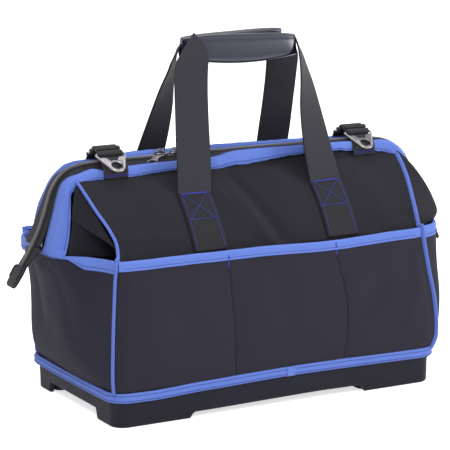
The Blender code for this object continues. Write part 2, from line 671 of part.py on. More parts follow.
        def gusset_form(u, v, corners=corners, fold=fold, x_side=x_side, y_side=y_side):
            if abs(u - 0.5) < 0.1 and abs(v - 0.5) < 0.1:
                point = fold
            else:
                point = corners[0].lerp(corners[3], u).lerp(corners[1].lerp(corners[2], u), v)
            return Vector((x_side * point.x, y_side * point.y, point.z))

        carry(mouth, sheet("gusset_" + tag, 2, 2, gusset_form, GUSSET_FABRIC, 0.0, "cloth"))

    if y_label == "front":
        front_mouth = mouth

# Zip ends down each bag end, free tails and their caps
zip_mid_z = tape_z + ZIP_TAPE / 2.0
end_half = FRAME_Y - CASING_DEPTH / 2.0 - 2.0 * CLEAR
start = Vector((zip_half_length + CLEAR, 0.0, zip_mid_z))
knee = Vector((MOUTH_CORNER_X + 0.0065, 0.0, zip_mid_z))
shin = Vector((MOUTH_CORNER_X + 0.0115, 0.0, MOUTH_Z - 0.014))
hem = Vector((SHEET_X + POCKET_BOW + 0.0055, 0.0, RIM_Z + 0.0077))
zip_line = [start * (1 - t) ** 2 + knee * 2 * t * (1 - t) + shin * t ** 2 for t in [i / 5.0 for i in range(6)]]
zip_line += [shin.lerp(hem, 0.35) + Vector((0.0025, 0.0, 0.0)), shin.lerp(hem, 0.7) + Vector((0.002, 0.0, 0.0)), hem]
fall = Vector((TAIL_REACH, 0.0, -TAIL_DROP))
tail_top = hem + (hem - shin).normalized() * (TAIL_ROLL / 2.0 + CLEAR)
tail_line = [tail_top, tail_top + fall * 0.5 + Vector((0.0008, 0.0, 0.0)), tail_top + fall]
for label, side in ENDS:
    def strip_form(u, v, side=side):
        point = zip_line[int(round(v * (len(zip_line) - 1)))]
        return Vector((side * point.x, side * end_half * (2.0 * u - 1.0), point.z))

    sheet("zip_end_" + label, 1, len(zip_line) - 1, strip_form, ZIP_END_SHEET, 0.0, "teeth")

    def tail_form(u, v, side=side):
        point = tail_line[int(round(v * 2.0))]
        return Vector((side * point.x, side * (end_half + 0.002) * (2.0 * u - 1.0), point.z))

    swing = pivot("zip_tail_%s_axis" % label, (side * tail_top.x, 0.0, tail_top.z))
    tail = sheet("zip_tail_" + label, 1, 2, tail_form, ZIP_END_SHEET, 0.0, "teeth")
    roll_ends = [Vector((side * tail_top.x, y, tail_top.z)) for y in (-end_half, end_half)]
    boolean(tail, tube("tail_roll_" + label, roll_ends, TAIL_ROLL, None), "UNION")
    way = Vector((side * fall.x, 0.0, fall.z)).normalized()
    tip = Vector((side * tail_line[2].x, 0.0, tail_line[2].z)) + way * (CLEAR + CAP_LENGTH / 2.0)
    cap = box("zip_cap_" + label, (-CAP_LENGTH / 2.0, CAP_LENGTH / 2.0), (-CAP_WIDTH / 2.0, CAP_WIDTH / 2.0),
              (-CAP_HEIGHT / 2.0, CAP_HEIGHT / 2.0), "rubber")
    cap.matrix_world = axes(tip, way, Y_AXIS)
    round_edges(cap, 0.0012, 2)
    carry(swing, tail, cap)

# Zip sliders with their bridges and pulls
slider_z = tape_z + TEETH_HEIGHT + CLEAR
for label, x, heading, tip in (("left", SLIDER_LEFT_X, -50.0, -0.12), ("right", SLIDER_RIGHT_X, 180.0, -0.02)):
    runner = pivot("slider_%s_axis" % label, (x, 0.0, slider_z), front_mouth)
    plan = [(-0.0085, -0.0035), (-0.002, -0.0062), (0.0075, -0.0050), (0.0075, 0.0050), (-0.002, 0.0062), (-0.0085, 0.0035)]
    body = outline("slider_" + label, [plan], SLIDER_SHEET,
                   axes(Vector((x, 0.0, slider_z + SLIDER_SHEET / 2.0)), X_AXIS, Y_AXIS), "steel")
    bridge = box("bridge_" + label, (x - BRIDGE_LENGTH / 2.0, x + BRIDGE_LENGTH / 2.0), (-BRIDGE_WIDTH / 2.0, BRIDGE_WIDTH / 2.0),
                 (slider_z + SLIDER_SHEET / 2.0, slider_z + BRIDGE_HEIGHT), None)
    round_edges(bridge, 0.0008, 1)
    window = box("bridge_window_" + label, (x - BRIDGE_LENGTH / 2.0 + 0.0016, x + BRIDGE_LENGTH / 2.0 - 0.0016),
                 (-BRIDGE_WIDTH, BRIDGE_WIDTH), (slider_z + SLIDER_SHEET + 0.0006, slider_z + BRIDGE_HEIGHT - 0.0016), None)
    boolean(body, bridge, "UNION")
    boolean(body, window, "DIFFERENCE")
    carry(runner, body)
    turn = math.radians(heading)
    way = Vector((-math.cos(turn), math.sin(turn), tip)).normalized()
    hinge = Vector((-way.y, way.x, 0.0)).normalized()
    pin = Vector((x, 0.0, slider_z + 0.0041))
    head = 0.0062
    waist = 0.0042
    edge = [(-head, -0.0008), (head, -0.0008), (head, 0.0095), (waist, 0.0125), (waist + 0.0008, PULL_LENGTH - 0.001),
            (waist, PULL_LENGTH), (-waist, PULL_LENGTH), (-waist - 0.0008, PULL_LENGTH - 0.001), (-waist, 0.0125),
            (-head, 0.0095)]
    window = [(-head + 0.0011, 0.0008), (head - 0.0011, 0.0008), (head - 0.0011, 0.0088), (-head + 0.0011, 0.0088)]
    eye = [(-0.0030, PULL_LENGTH - 0.0085), (0.0030, PULL_LENGTH - 0.0085), (0.0034, PULL_LENGTH - 0.002),
           (-0.0034, PULL_LENGTH - 0.002)]
    pull_swing = pivot("pull_%s_axis" % label, pin, runner)
    carry(pull_swing, outline("pull_" + label, [edge, window, eye], PULL_SHEET, axes(pin, hinge, way), "steel"))
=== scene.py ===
# Looks of the rigging bag: black woven cloth, blue binding tape, steel-framed zip mouth, moulded tray base.
# Metres, +Z up, front towards -Y, floor at Z = 0.
import math
import bmesh
import bpy
import numpy as np
from mathutils import Matrix, Vector


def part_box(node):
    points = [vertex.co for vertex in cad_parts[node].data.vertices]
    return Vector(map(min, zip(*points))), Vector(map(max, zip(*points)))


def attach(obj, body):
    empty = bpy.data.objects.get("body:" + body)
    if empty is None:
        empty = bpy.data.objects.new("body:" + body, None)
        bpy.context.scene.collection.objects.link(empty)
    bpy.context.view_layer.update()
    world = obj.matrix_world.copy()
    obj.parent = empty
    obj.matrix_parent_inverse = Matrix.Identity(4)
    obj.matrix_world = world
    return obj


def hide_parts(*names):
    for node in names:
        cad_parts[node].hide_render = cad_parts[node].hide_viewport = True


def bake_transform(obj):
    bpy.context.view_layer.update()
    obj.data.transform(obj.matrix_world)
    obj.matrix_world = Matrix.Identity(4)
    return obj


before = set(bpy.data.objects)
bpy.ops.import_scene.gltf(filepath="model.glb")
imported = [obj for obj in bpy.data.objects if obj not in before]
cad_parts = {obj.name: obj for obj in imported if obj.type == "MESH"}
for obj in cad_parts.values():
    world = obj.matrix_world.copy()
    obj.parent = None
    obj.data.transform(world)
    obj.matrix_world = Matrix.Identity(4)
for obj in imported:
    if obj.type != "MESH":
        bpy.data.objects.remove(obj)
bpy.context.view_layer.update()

ENDS = (("left", -1.0), ("right", 1.0))
FACES = (("front", -1.0), ("back", 1.0))
SIGN = dict(FACES + ENDS)
CORNERS = [(face, side, end, sx) for face, side in FACES for end, sx in ENDS]

# Heights of the body, and where its long faces, its corners and the outline of its ends stand
TRAY_TOP = 0.046
SHEET_FOOT = 0.0455
RIM = 0.2083
FACE_Y = 0.1190
CORNER_Y = 0.1150
OUTLINE_Y = 0.1135

# Mouth, frames and zip
FRAME_Y = 0.018
TOOTH_PITCH = 0.0028

# Handles and ring tabs
HANDLE_SHIFT = 0.0075
STRAP_SHEET = 0.0024
ANCHOR_HALF = 0.0225
TAB_X = 0.178
TAB_HALF = 0.0165


# Camera
def place_camera():
    """Camera of the photograph: turned 27.24 degrees towards the left end and 11.67 degrees down."""
    turn = math.radians(27.24)
    tilt = math.radians(11.67)
    ahead = Vector((math.sin(turn) * math.cos(tilt), math.cos(turn) * math.cos(tilt), -math.sin(tilt)))
    target = Vector((-0.0120, 0.0, 0.2129))
    lens = bpy.data.cameras.new("photo_camera")
    lens.sensor_width = 36.0
    lens.lens = 162.24
    lens.clip_end = 60.0
    camera = bpy.data.objects.new("photo_camera", lens)
    bpy.context.scene.collection.objects.link(camera)
    aim = ahead.to_track_quat("-Z", "Y").to_matrix().to_4x4()
    roll = Matrix.Rotation(math.radians(-0.32), 4, "Z")
    camera.matrix_world = Matrix.Translation(target - ahead * 2.617) @ aim @ roll
    bpy.context.scene.camera = camera


place_camera()


# Curves and grids
def ease(share):
    """Smooth step: 3t^2 - 2t^3 of the share held between 0 and 1."""
    held = np.clip(share, 0.0, 1.0)
    return held * held * (3.0 - 2.0 * held)


def through(at, knots, values):
    """Cubic curve through values at the knots; its slope at each is that of the two chords beside it."""
    knots = np.asarray(knots, float)
    values = np.asarray(values, float)
    at = np.clip(np.asarray(at, float), knots[0], knots[-1])
    chords = np.diff(values, axis=0) / np.diff(knots).reshape((-1,) + (1,) * (values.ndim - 1))
    slopes = np.concatenate([chords[:1], (chords[1:] + chords[:-1]) / 2.0, chords[-1:]])
    span = np.clip(np.searchsorted(knots, at, side="right") - 1, 0, len(knots) - 2)
    width = knots[span + 1] - knots[span]
    t = (at - knots[span]) / width
    shape = t.shape + (1,) * (values.ndim - 1)
    t = t.reshape(shape)
    width = width.reshape(shape)
    return ((2 * t ** 3 - 3 * t ** 2 + 1) * values[span] + (t ** 3 - 2 * t ** 2 + t) * width * slopes[span]
            + (3 * t ** 2 - 2 * t ** 3) * values[span + 1] + (t ** 3 - t ** 2) * width * slopes[span + 1])


def xyz(x, y, z):
    """Points whose coordinates are broadcast against each other."""
    return np.stack(np.broadcast_arrays(x, y, z), axis=-1)


def distances(path):
    """Summed chord length from a path's first point to each of its points."""
    return np.concatenate([[0.0], np.cumsum(np.linalg.norm(np.diff(path, axis=0), axis=1))])


def sampled(at, run, values):
    """Rows of values, known at the lengths of run, read at other lengths."""
    return np.stack([np.interp(at, run, column) for column in values.T], axis=1)


def through_points(points, count):
    """Points evenly spaced in share along a smooth curve through the given ones."""
    run = distances(points)
    return through(np.linspace(0.0, run[-1], count), run, points)


def mirrored(half):
    """Closed profile from one half of it and that half's mirror image, points on the middle line taken
    once."""
    half = np.array(half)
    image = half[::-1] * np.array([-1.0, 1.0])
    return np.concatenate([half, image[image[:, 0] != 0.0]])


def over_mouth(line, y, count):
    """Curve through (x, z) points that lead from one foot up to the middle, and through their mirror
    image."""
    left = xyz(-line[:, 0], y, line[:, 1])
    right = left[:-1][::-1] * np.array([-1.0, 1.0, 1.0])
    return through_points(np.concatenate([left, right]), count)


def in_plane(flat, first, second):
    """Flat (a, b) points as vectors along two axes."""
    return flat[:, :1] * first + flat[:, 1:] * second


def unit(vectors):
    return vectors / np.maximum(np.linalg.norm(vectors, axis=-1, keepdims=True), 1e-12)


def tangents(path):
    return unit(np.gradient(path, axis=0))


def ripple(u, v, seed, scale=1.0):
    """Gentle unevenness between -1 and 1: the mean of four sine waves with seeded directions and phases."""
    dice = np.random.default_rng(seed)
    total = np.zeros(np.broadcast(u, v).shape)
    for turn, length, phase in zip(dice.uniform(0, math.pi, 4), dice.uniform(0.6, 1.7, 4),
                                   dice.uniform(0, 6.28, 4)):
        total += np.sin((u * math.cos(turn) + v * math.sin(turn)) * 6.2832 / (scale * length) + phase)
    return total / 4.0


def folds(u, v, creases):
    """Sum of soft ridges: each falls off as a bell across its line and fades smoothly at both of its ends."""
    total = np.zeros(np.broadcast(u, v).shape)
    for (u0, v0), (u1, v1), width, height in creases:
        length = math.hypot(u1 - u0, v1 - v0)
        along = ((u - u0) * (u1 - u0) + (v - v0) * (v1 - v0)) / length ** 2
        across = ((u - u0) * (v1 - v0) - (v - v0) * (u1 - u0)) / length
        fade = ease((along + 0.25) / 0.4) * ease((1.25 - along) / 0.4)
        total += height * fade * np.exp(-(across / width) ** 2)
    return total


def grid_mesh(name, points, wrap_rows=False, wrap_columns=False):
    """Quads between neighbouring points of a rows x columns grid, with UV in metres along the grid lines. A
    grid of closed rings gets its first and last ring filled, unless they are joined."""
    rows, columns = points.shape[:2]
    index = np.arange(rows * columns).reshape(rows, columns)
    wide = points
    if wrap_rows:
        index = np.vstack([index, index[:1]])
        wide = np.concatenate([wide, wide[:1]], axis=0)
    if wrap_columns:
        index = np.hstack([index, index[:, :1]])
        wide = np.concatenate([wide, wide[:, :1]], axis=1)

    def quads(grid):
        return np.stack([grid[:-1, :-1], grid[:-1, 1:], grid[1:, 1:], grid[1:, :-1]], axis=2)

    flat = np.zeros(wide.shape[:2] + (2,))
    flat[:, 1:, 0] = np.cumsum(np.linalg.norm(np.diff(wide, axis=1), axis=2), axis=1)
    flat[1:, :, 1] = np.cumsum(np.linalg.norm(np.diff(wide, axis=0), axis=2), axis=0)
    corners = quads(flat).reshape(-1, 2)
    faces = quads(index).reshape(-1, 4).tolist()
    if wrap_columns and not wrap_rows:
        faces.append(index[0, :columns][::-1].tolist())
        faces.append(index[rows - 1, :columns].tolist())
        corners = np.concatenate([corners, np.zeros((2 * columns, 2))])
    mesh = bpy.data.meshes.new(name)
    mesh.from_pydata(points.reshape(-1, 3).tolist(), [], faces)
    layer = mesh.uv_layers.new(name="cloth_metres")
    layer.data.foreach_set("uv", corners.ravel())
    return mesh


def finish_mesh(name, mesh, material, body, facing, sharp):
    """Merged doubles, faces turned outwards or towards a given side, smooth shading, then the object rides on
    its body."""
    work = bmesh.new()
    work.from_mesh(mesh)
    bmesh.ops.remove_doubles(work, verts=work.verts, dist=1e-6)
    if facing is None:
        bmesh.ops.recalc_face_normals(work, faces=work.faces)
    else:
        work.normal_update()
        total = sum((face.normal * face.calc_area() for face in work.faces), Vector())
        if total.dot(Vector(facing)) < 0.0:
            bmesh.ops.reverse_faces(work, faces=work.faces)
    work.to_mesh(mesh)
    work.free()
    mesh.shade_smooth()
    mesh.set_sharp_from_angle(angle=math.radians(sharp))
    thing = bpy.data.objects.new(name, mesh)
    bpy.context.scene.collection.objects.link(thing)
    thing.data.materials.append(material)
    if body:
        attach(thing, body)
    return thing


def solid(name, points, material, body, joined=False, sharp=42.0):
    """Closed form from a grid of rings: its first and last ring are filled, or joined to each other."""
    return finish_mesh(name, grid_mesh(name, points, joined, True), material, body, None, sharp)


def cloth(name, points, material, body, facing, thickness, offset=-1.0, sharp=50.0):
    """Sheet from an open grid, its thickness given by Solidify."""
    thing = finish_mesh(name, grid_mesh(name, points), material, body, facing, sharp)
    step = thing.modifiers.new("thickness", "SOLIDIFY")
    step.thickness = thickness
    step.offset = offset
    step.use_even_offset = False
    return thing


def carried(path, side, rise, profile):
    """Profile of (side, rise) distances carried along a path, each turned by its frame."""
    return path[:, None] + side[:, None] * profile[:, :1] + rise[:, None] * profile[:, 1:]


def frames_along(path, up):
    """Side and rise of each path point: side is tangent x up, rise is side x tangent."""
    ahead = tangents(path)
    up = np.broadcast_to(np.asarray(up, float), path.shape)
    side = unit(np.cross(ahead, up))
    return side, np.cross(side, ahead)


def oval(half_a, half_b, count=12, power=1.0):
    """Closed profile: cosine and sine of the turn, each raised to a power that squares the oval."""
    turn = np.linspace(0.0, 2.0 * math.pi, count, endpoint=False)
    c = np.cos(turn)
    s = np.sin(turn)
    return np.stack([half_a * np.sign(c) * np.abs(c) ** power, half_b * np.sign(s) * np.abs(s) ** power],
                    axis=1)


SIX_TURNS = np.linspace(0.0, 2.0 * math.pi, 6, endpoint=False)


def beads(name, place, axes, steps, sizes, ring, material, body, sharp, filled):
    """Small forms in one mesh, each of four rings of six points: the rings lie at the steps along its first
    axis, and their two rows of coordinates, times each ring's size, along the other two."""
    along, across, up = (np.broadcast_to(axis, place.shape)[:, None, None] for axis in axes)
    size = np.reshape(sizes, (4, 1, 1))
    points = (place[:, None, None] + along * np.reshape(steps, (4, 1, 1)) + across * (size * ring[0][:, None])
              + up * (size * ring[1][:, None]))
    first = 24 * np.arange(len(place))[:, None]
    edges = [(6 * j + k, 6 * j + (k + 1) % 6) for j in range(3) for k in range(6)]
    faces = np.concatenate([first + np.array([a, b, b + 6, a + 6]) for a, b in edges]).tolist()
    if filled:
        faces += (first + np.arange(6)).tolist() + (first + 18 + np.arange(6)).tolist()
    mesh = bpy.data.meshes.new(name)
    mesh.from_pydata(points.reshape(-1, 3).tolist(), [], faces)
    return finish_mesh(name, mesh, material, body, None, sharp)


def stitches(name, runs, material, body, pitch, length, width, height):
    """Thread beads along each run of (path, normal): at every pitch a six-sided spindle lies on the path."""
    parts = []
    for path, normal in runs:
        run = distances(path)
        count = max(1, int(run[-1] / pitch))
        at = (np.arange(count) + 0.5) * run[-1] / count
        ahead = unit(sampled(at, run, tangents(path)))
        up = unit(sampled(at, run, np.broadcast_to(normal, path.shape)))
        parts.append((sampled(at, run, path), ahead, unit(np.cross(ahead, up)), up))
    place, ahead, side, up = (np.concatenate(part) for part in zip(*parts))
    steps = np.array([-0.5, -0.28, 0.28, 0.5]) * length
    ring = (width * np.cos(SIX_TURNS), height * np.sin(SIX_TURNS))
    return beads(name, place, (ahead, side, up), steps, (0.45, 1.0, 1.0, 0.45), ring, material, body, 180.0,
                 False)


def bend_with_mouth(thing):
    """Bakes a cloth object's transform into its mesh; the cloth does not turn with the mouth frame."""
    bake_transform(thing)


# Shader groups
def linear(red, green, blue):
    """Linear colour of an sRGB one given in 0 to 255."""
    parts = [channel / 255.0 for channel in (red, green, blue)]
    return tuple(p / 12.92 if p <= 0.04045 else ((p + 0.055) / 1.055) ** 2.4 for p in parts) + (1.0,)


def node(tree, kind, inputs=None, **settings):
    made = tree.nodes.new(kind)
    for key, value in settings.items():
        setattr(made, key, value)
    for key, value in (inputs or {}).items():
        if isinstance(value, bpy.types.NodeSocket):
            tree.links.new(value, made.inputs[key])
        else:
            made.inputs[key].default_value = value
    return made


def calc(tree, operation, first, second=0.0, third=0.0):
    return node(tree, "ShaderNodeMath", {0: first, 1: second, 2: third}, operation=operation).outputs[0]


def new_group(name, inputs, outputs):
    tree = bpy.data.node_groups.new(name, "ShaderNodeTree")
    for label, kind, value in inputs:
        socket = tree.interface.new_socket(label, in_out="INPUT", socket_type=kind)
        if value is not None:
            socket.default_value = value
    for label, kind in outputs:
        tree.interface.new_socket(label, in_out="OUTPUT", socket_type=kind)
    return tree, tree.nodes.new("NodeGroupInput").outputs, tree.nodes.new("NodeGroupOutput").inputs


FLOAT = "NodeSocketFloat"
VECTOR = "NodeSocketVector"


def weave_group():
    """Plain weave: square cells of one pitch, in which warp and weft take turns to lie on top as rounded
    threads."""
    tree, given, out = new_group("plain_weave", [("Vector", VECTOR, None), ("Pitch", FLOAT, 0.0012)],
                                 [("Height", FLOAT), ("Thread", FLOAT)])
    parts = node(tree, "ShaderNodeSeparateXYZ", {0: given["Vector"]}).outputs
    u = calc(tree, "SINE", calc(tree, "DIVIDE", calc(tree, "MULTIPLY", parts[0], math.pi), given["Pitch"]))
    v = calc(tree, "SINE", calc(tree, "DIVIDE", calc(tree, "MULTIPLY", parts[1], math.pi), given["Pitch"]))
    over = calc(tree, "GREATER_THAN", calc(tree, "MULTIPLY", u, v), 0.0)
    warp = calc(tree, "ABSOLUTE", u)
    weft = calc(tree, "ABSOLUTE", v)
    lift = calc(tree, "MULTIPLY_ADD", over, calc(tree, "SUBTRACT", warp, weft), weft)
    tree.links.new(lift, out["Height"])
    # Colour factor from the thread's height: painted shade in the weave's hollows and painted highlight on its
    # crowns.
    tree.links.new(calc(tree, "MULTIPLY_ADD", lift, 0.30, 0.80), out["Thread"])
    return tree


def rib_group():
    """Woven tape: lengthwise ribs of one pitch crossed by finer picks that shift by half in each next rib."""
    tree, given, out = new_group("tape_rib",
                                 [("Vector", VECTOR, None), ("Rib", FLOAT, 0.0016), ("Pick", FLOAT, 0.0009),
                                  ("Slant", FLOAT, 0.0)], [("Height", FLOAT), ("Thread", FLOAT)])
    parts = node(tree, "ShaderNodeSeparateXYZ", {0: given["Vector"]}).outputs
    rib = calc(tree, "DIVIDE", parts[0], given["Rib"])
    lane = calc(tree, "FLOOR", rib)
    crown = calc(tree, "ABSOLUTE", calc(tree, "SINE", calc(tree, "MULTIPLY", rib, math.pi)))
    pick = calc(tree, "DIVIDE", parts[1], given["Pick"])
    pick = calc(tree, "MULTIPLY_ADD", lane, 0.5, calc(tree, "MULTIPLY_ADD", rib, given["Slant"], pick))
    cross = calc(tree, "ABSOLUTE", calc(tree, "SINE", calc(tree, "MULTIPLY", pick, math.pi)))
    lift = calc(tree, "MULTIPLY_ADD", cross, 0.45, calc(tree, "MULTIPLY", crown, 0.55))
    tree.links.new(lift, out["Height"])
    # Colour factor from the rib and pick height: painted shade between ribs and picks and painted highlight on
    # their crowns.
    tree.links.new(calc(tree, "MULTIPLY_ADD", lift, 0.34, 0.76), out["Thread"])
    return tree


def mottle_group():
    """Uneven colour: broad and fine noise around one, and a small speck mask of lint."""
    tree, given, out = new_group("mottle",
                                 [("Vector", VECTOR, None), ("Broad", FLOAT, 14.0), ("Fine", FLOAT, 900.0),
                                  ("Amount", FLOAT, 0.18)], [("Factor", FLOAT), ("Speck", FLOAT)])
    broad = node(tree, "ShaderNodeTexNoise",
                 {"Vector": given["Vector"], "Scale": given["Broad"], "Detail": 3.0})
    fine = node(tree, "ShaderNodeTexNoise",
                {"Vector": given["Vector"], "Scale": given["Fine"], "Detail": 2.0})
    both = calc(tree, "ADD", broad.outputs["Fac"], fine.outputs["Fac"])
    swing = calc(tree, "MULTIPLY", calc(tree, "SUBTRACT", both, 1.0), given["Amount"])
    tree.links.new(calc(tree, "ADD", swing, 1.0), out["Factor"])
    lint = node(tree, "ShaderNodeTexNoise", {"Vector": given["Vector"], "Scale": 420.0, "Detail": 1.0})
    tree.links.new(calc(tree, "MULTIPLY", calc(tree, "GREATER_THAN", lint.outputs["Fac"], 0.80), 0.5),
                   out["Speck"])
    return tree


def grain_group():
    """Moulded grain: rounded cells of voronoi distance roughened by noise."""
    tree, given, out = new_group("moulded_grain", [("Vector", VECTOR, None), ("Scale", FLOAT, 900.0)],
                                 [("Height", FLOAT), ("Gloss", FLOAT)])
    cells = node(tree, "ShaderNodeTexVoronoi", {"Vector": given["Vector"], "Scale": given["Scale"]})
    haze = node(tree, "ShaderNodeTexNoise", {"Vector": given["Vector"], "Scale": 40.0, "Detail": 4.0})
    tree.links.new(calc(tree, "MULTIPLY_ADD", haze.outputs["Fac"], 0.4, cells.outputs["Distance"]),
                   out["Height"])
    tree.links.new(calc(tree, "MULTIPLY_ADD", haze.outputs["Fac"], 0.22, 0.89), out["Gloss"])
    return tree


def plating_group():
    """Worn plating: long noise streaks for scratches and soft patches of rubbed metal."""
    tree, given, out = new_group("worn_plating", [("Vector", VECTOR, None)],
                                 [("Scratch", FLOAT), ("Rub", FLOAT)])
    stretch = node(tree, "ShaderNodeMapping", {"Vector": given["Vector"], "Scale": (60.0, 900.0, 900.0)})
    streak = node(tree, "ShaderNodeTexNoise", {"Vector": stretch.outputs[0], "Scale": 1.0, "Detail": 2.0})
    patch = node(tree, "ShaderNodeTexNoise", {"Vector": given["Vector"], "Scale": 160.0, "Detail": 3.0})
    tree.links.new(streak.outputs["Fac"], out["Scratch"])
    tree.links.new(patch.outputs["Fac"], out["Rub"])
    return tree


WEAVE = weave_group()
RIB = rib_group()
MOTTLE = mottle_group()
GRAIN = grain_group()
PLATING = plating_group()


def new_material(name, settings):
    material = bpy.data.materials.new(name)
    material.use_nodes = True
    tree = material.node_tree
    shader = tree.nodes["Principled BSDF"]
    for key, value in settings.items():
        shader.inputs[key].default_value = value
    where = node(tree, "ShaderNodeTexCoord")
    return material, tree, shader, where


def placed_group(tree, group, inputs):
    return node(tree, "ShaderNodeGroup", inputs, node_tree=group).outputs


def tint(tree, colour, *factors):
    """Colour scaled by the product of the factors."""
    total = factors[0]
    for factor in factors[1:]:
        total = calc(tree, "MULTIPLY", total, factor)
    grey = node(tree, "ShaderNodeCombineColor", {0: total, 1: total, 2: total}).outputs[0]
    return node(tree, "ShaderNodeMix", {0: 1.0, 6: colour, 7: grey}, data_type="RGBA",
                blend_type="MULTIPLY").outputs[2]


def bump(tree, shader, height, distance):
    made = node(tree, "ShaderNodeBump", {"Height": height, "Distance": distance, "Strength": 1.0})
    tree.links.new(made.outputs[0], shader.inputs["Normal"])


def woven_cloth(name, colour, pitch, amount=0.22, roughness=0.84, sheen=0.03):
    """Coated pack cloth: plain weave bump, painted shade in the weave's hollows with painted highlight on its
    crowns, uneven dye and a little lint.
    """
    settings = {"Roughness": roughness, "Sheen Weight": sheen, "Sheen Roughness": 0.5,
                "Specular IOR Level": 0.20}
    material, tree, shader, where = new_material(name, settings)
    weave = placed_group(tree, WEAVE, {"Vector": where.outputs["UV"], "Pitch": pitch})
    dye = placed_group(tree, MOTTLE, {"Vector": where.outputs["Object"], "Amount": amount})
    shade = tint(tree, linear(*colour), weave["Thread"], dye["Factor"])
    lint = node(tree, "ShaderNodeMix", {0: dye["Speck"], 6: shade, 7: linear(90, 89, 101)}, data_type="RGBA")
    tree.links.new(lint.outputs[2], shader.inputs["Base Color"])
    bump(tree, shader, weave["Height"], 0.00022)
    return material


def woven_tape(name, colour, rib, pick, slant=0.0, amount=0.14, roughness=0.62, depth=0.00025, sheen=0.04):
    """Woven tape or webbing: ribs along it, picks across it, painted shade between ribs and picks with painted
    highlight on their crowns, and uneven dye.
    """
    settings = {"Roughness": roughness, "Sheen Weight": sheen, "Sheen Roughness": 0.45,
                "Specular IOR Level": 0.25}
    material, tree, shader, where = new_material(name, settings)
    ribs = placed_group(tree, RIB, {"Vector": where.outputs["UV"], "Rib": rib, "Pick": pick, "Slant": slant})
    dye = placed_group(tree, MOTTLE, {"Vector": where.outputs["Object"], "Amount": amount, "Broad": 22.0})
    tree.links.new(tint(tree, linear(*colour), ribs["Thread"], dye["Factor"]), shader.inputs["Base Color"])
    bump(tree, shader, ribs["Height"], depth)
    return material


def moulded(name, colour, roughness, scale, depth, coat=0.0, specular=0.5):
    """Moulded plastic, rubber or glossy cover: fine grain and hazy gloss."""
    settings = {"Coat Weight": coat, "Coat Roughness": 0.22, "Specular IOR Level": specular}
    material, tree, shader, where = new_material(name, settings)
    grain = placed_group(tree, GRAIN, {"Vector": where.outputs["Object"], "Scale": scale})
    dye = placed_group(tree, MOTTLE, {"Vector": where.outputs["Object"], "Amount": 0.10, "Fine": 300.0})
    tree.links.new(tint(tree, linear(*colour), dye["Factor"]), shader.inputs["Base Color"])
    tree.links.new(calc(tree, "MULTIPLY", grain["Gloss"], roughness), shader.inputs["Roughness"])
    bump(tree, shader, grain["Height"], depth)
    return material


def plated(name, colour, roughness):
    """Plated steel: scratches and rubbed patches vary colour and roughness."""
    material, tree, shader, where = new_material(name, {"Metallic": 1.0})
    worn = placed_group(tree, PLATING, {"Vector": where.outputs["Object"]})
    tree.links.new(tint(tree, linear(*colour), calc(tree, "MULTIPLY_ADD", worn["Rub"], 0.5, 0.75)),
                   shader.inputs["Base Color"])
    tree.links.new(calc(tree, "MULTIPLY_ADD", worn["Scratch"], 0.26, roughness - 0.13),
                   shader.inputs["Roughness"])
    bump(tree, shader, worn["Scratch"], 0.00004)
    return material


FRONT_CLOTH = woven_cloth("front_cloth", (41, 39, 51), 0.0011)
END_CLOTH = woven_cloth("end_cloth", (38, 37, 52), 0.0011)
UPPER_CLOTH = woven_cloth("upper_cloth", (31, 30, 38), 0.0011)
WALL_CLOTH = woven_cloth("wall_cloth", (44, 43, 52), 0.0011)
GUSSET_CLOTH = woven_cloth("gusset_cloth", (33, 32, 40), 0.0011)
BLUE_TAPE = woven_tape("blue_tape", (101, 129, 215), 0.0011, 0.0009, 0.0, 0.12)
BLUE_SEAM = woven_tape("blue_seam", (95, 118, 205), 0.0010, 0.0009, 0.5, 0.10)
BLUE_THREAD = woven_tape("blue_thread", (62, 70, 192), 0.0005, 0.0006, 0.0, 0.1, 0.5, 0.0001)
SEAM_THREAD = woven_tape("seam_thread", (44, 55, 146), 0.0005, 0.0006, 0.0, 0.1, 0.5, 0.0001)
WEBBING = woven_tape("strap_webbing", (36, 36, 44), 0.0023, 0.0014, 0.35, 0.10, 0.58, 0.0004)
# Darker copy of the strap webbing for the back handle: painted shade, as the back straps stand in shadow.
WEBBING_PAINTED_SHADE = woven_tape("rear_strap_webbing_painted_shade", (30, 30, 38), 0.0023, 0.0014, 0.35, 0.10, 0.62, 0.0004)
# Darker copy of the strap webbing where it lies sewn flat on the upper panels: painted shade.
SEWN_WEBBING_PAINTED_SHADE = woven_tape("sewn_webbing_painted_shade", (20, 20, 26), 0.0018, 0.0012, 0.35, 0.10, 0.62, 0.0004)
TAB_WEBBING = woven_tape("tab_webbing", (40, 40, 44), 0.0028, 0.0018, 0.0, 0.12, 0.6, 0.0006)
ZIP_TAPE = woven_tape("zip_tape", (24, 24, 30), 0.0010, 0.0012, 0.0, 0.12, 0.75, 0.0002)
TRAY_PLASTIC = moulded("tray_plastic", (19, 18, 32), 0.62, 1100.0, 0.00005, 0.0, 0.22)
BOARD = moulded("floor_board_face", (56, 56, 62), 0.75, 500.0, 0.0001)
GRIP_COVER = moulded("grip_cover", (22, 25, 46), 0.30, 700.0, 0.00003, 0.25)
CAP_RUBBER = moulded("cap_rubber", (26, 26, 31), 0.55, 900.0, 0.00005, 0.0, 0.3)
TOOTH_PLASTIC = moulded("tooth_plastic", (124, 121, 122), 0.30, 700.0, 0.00003)
STEEL = plated("plated_steel", (146, 141, 140), 0.28)
DARK_STEEL = plated("gunmetal", (120, 117, 120), 0.30)


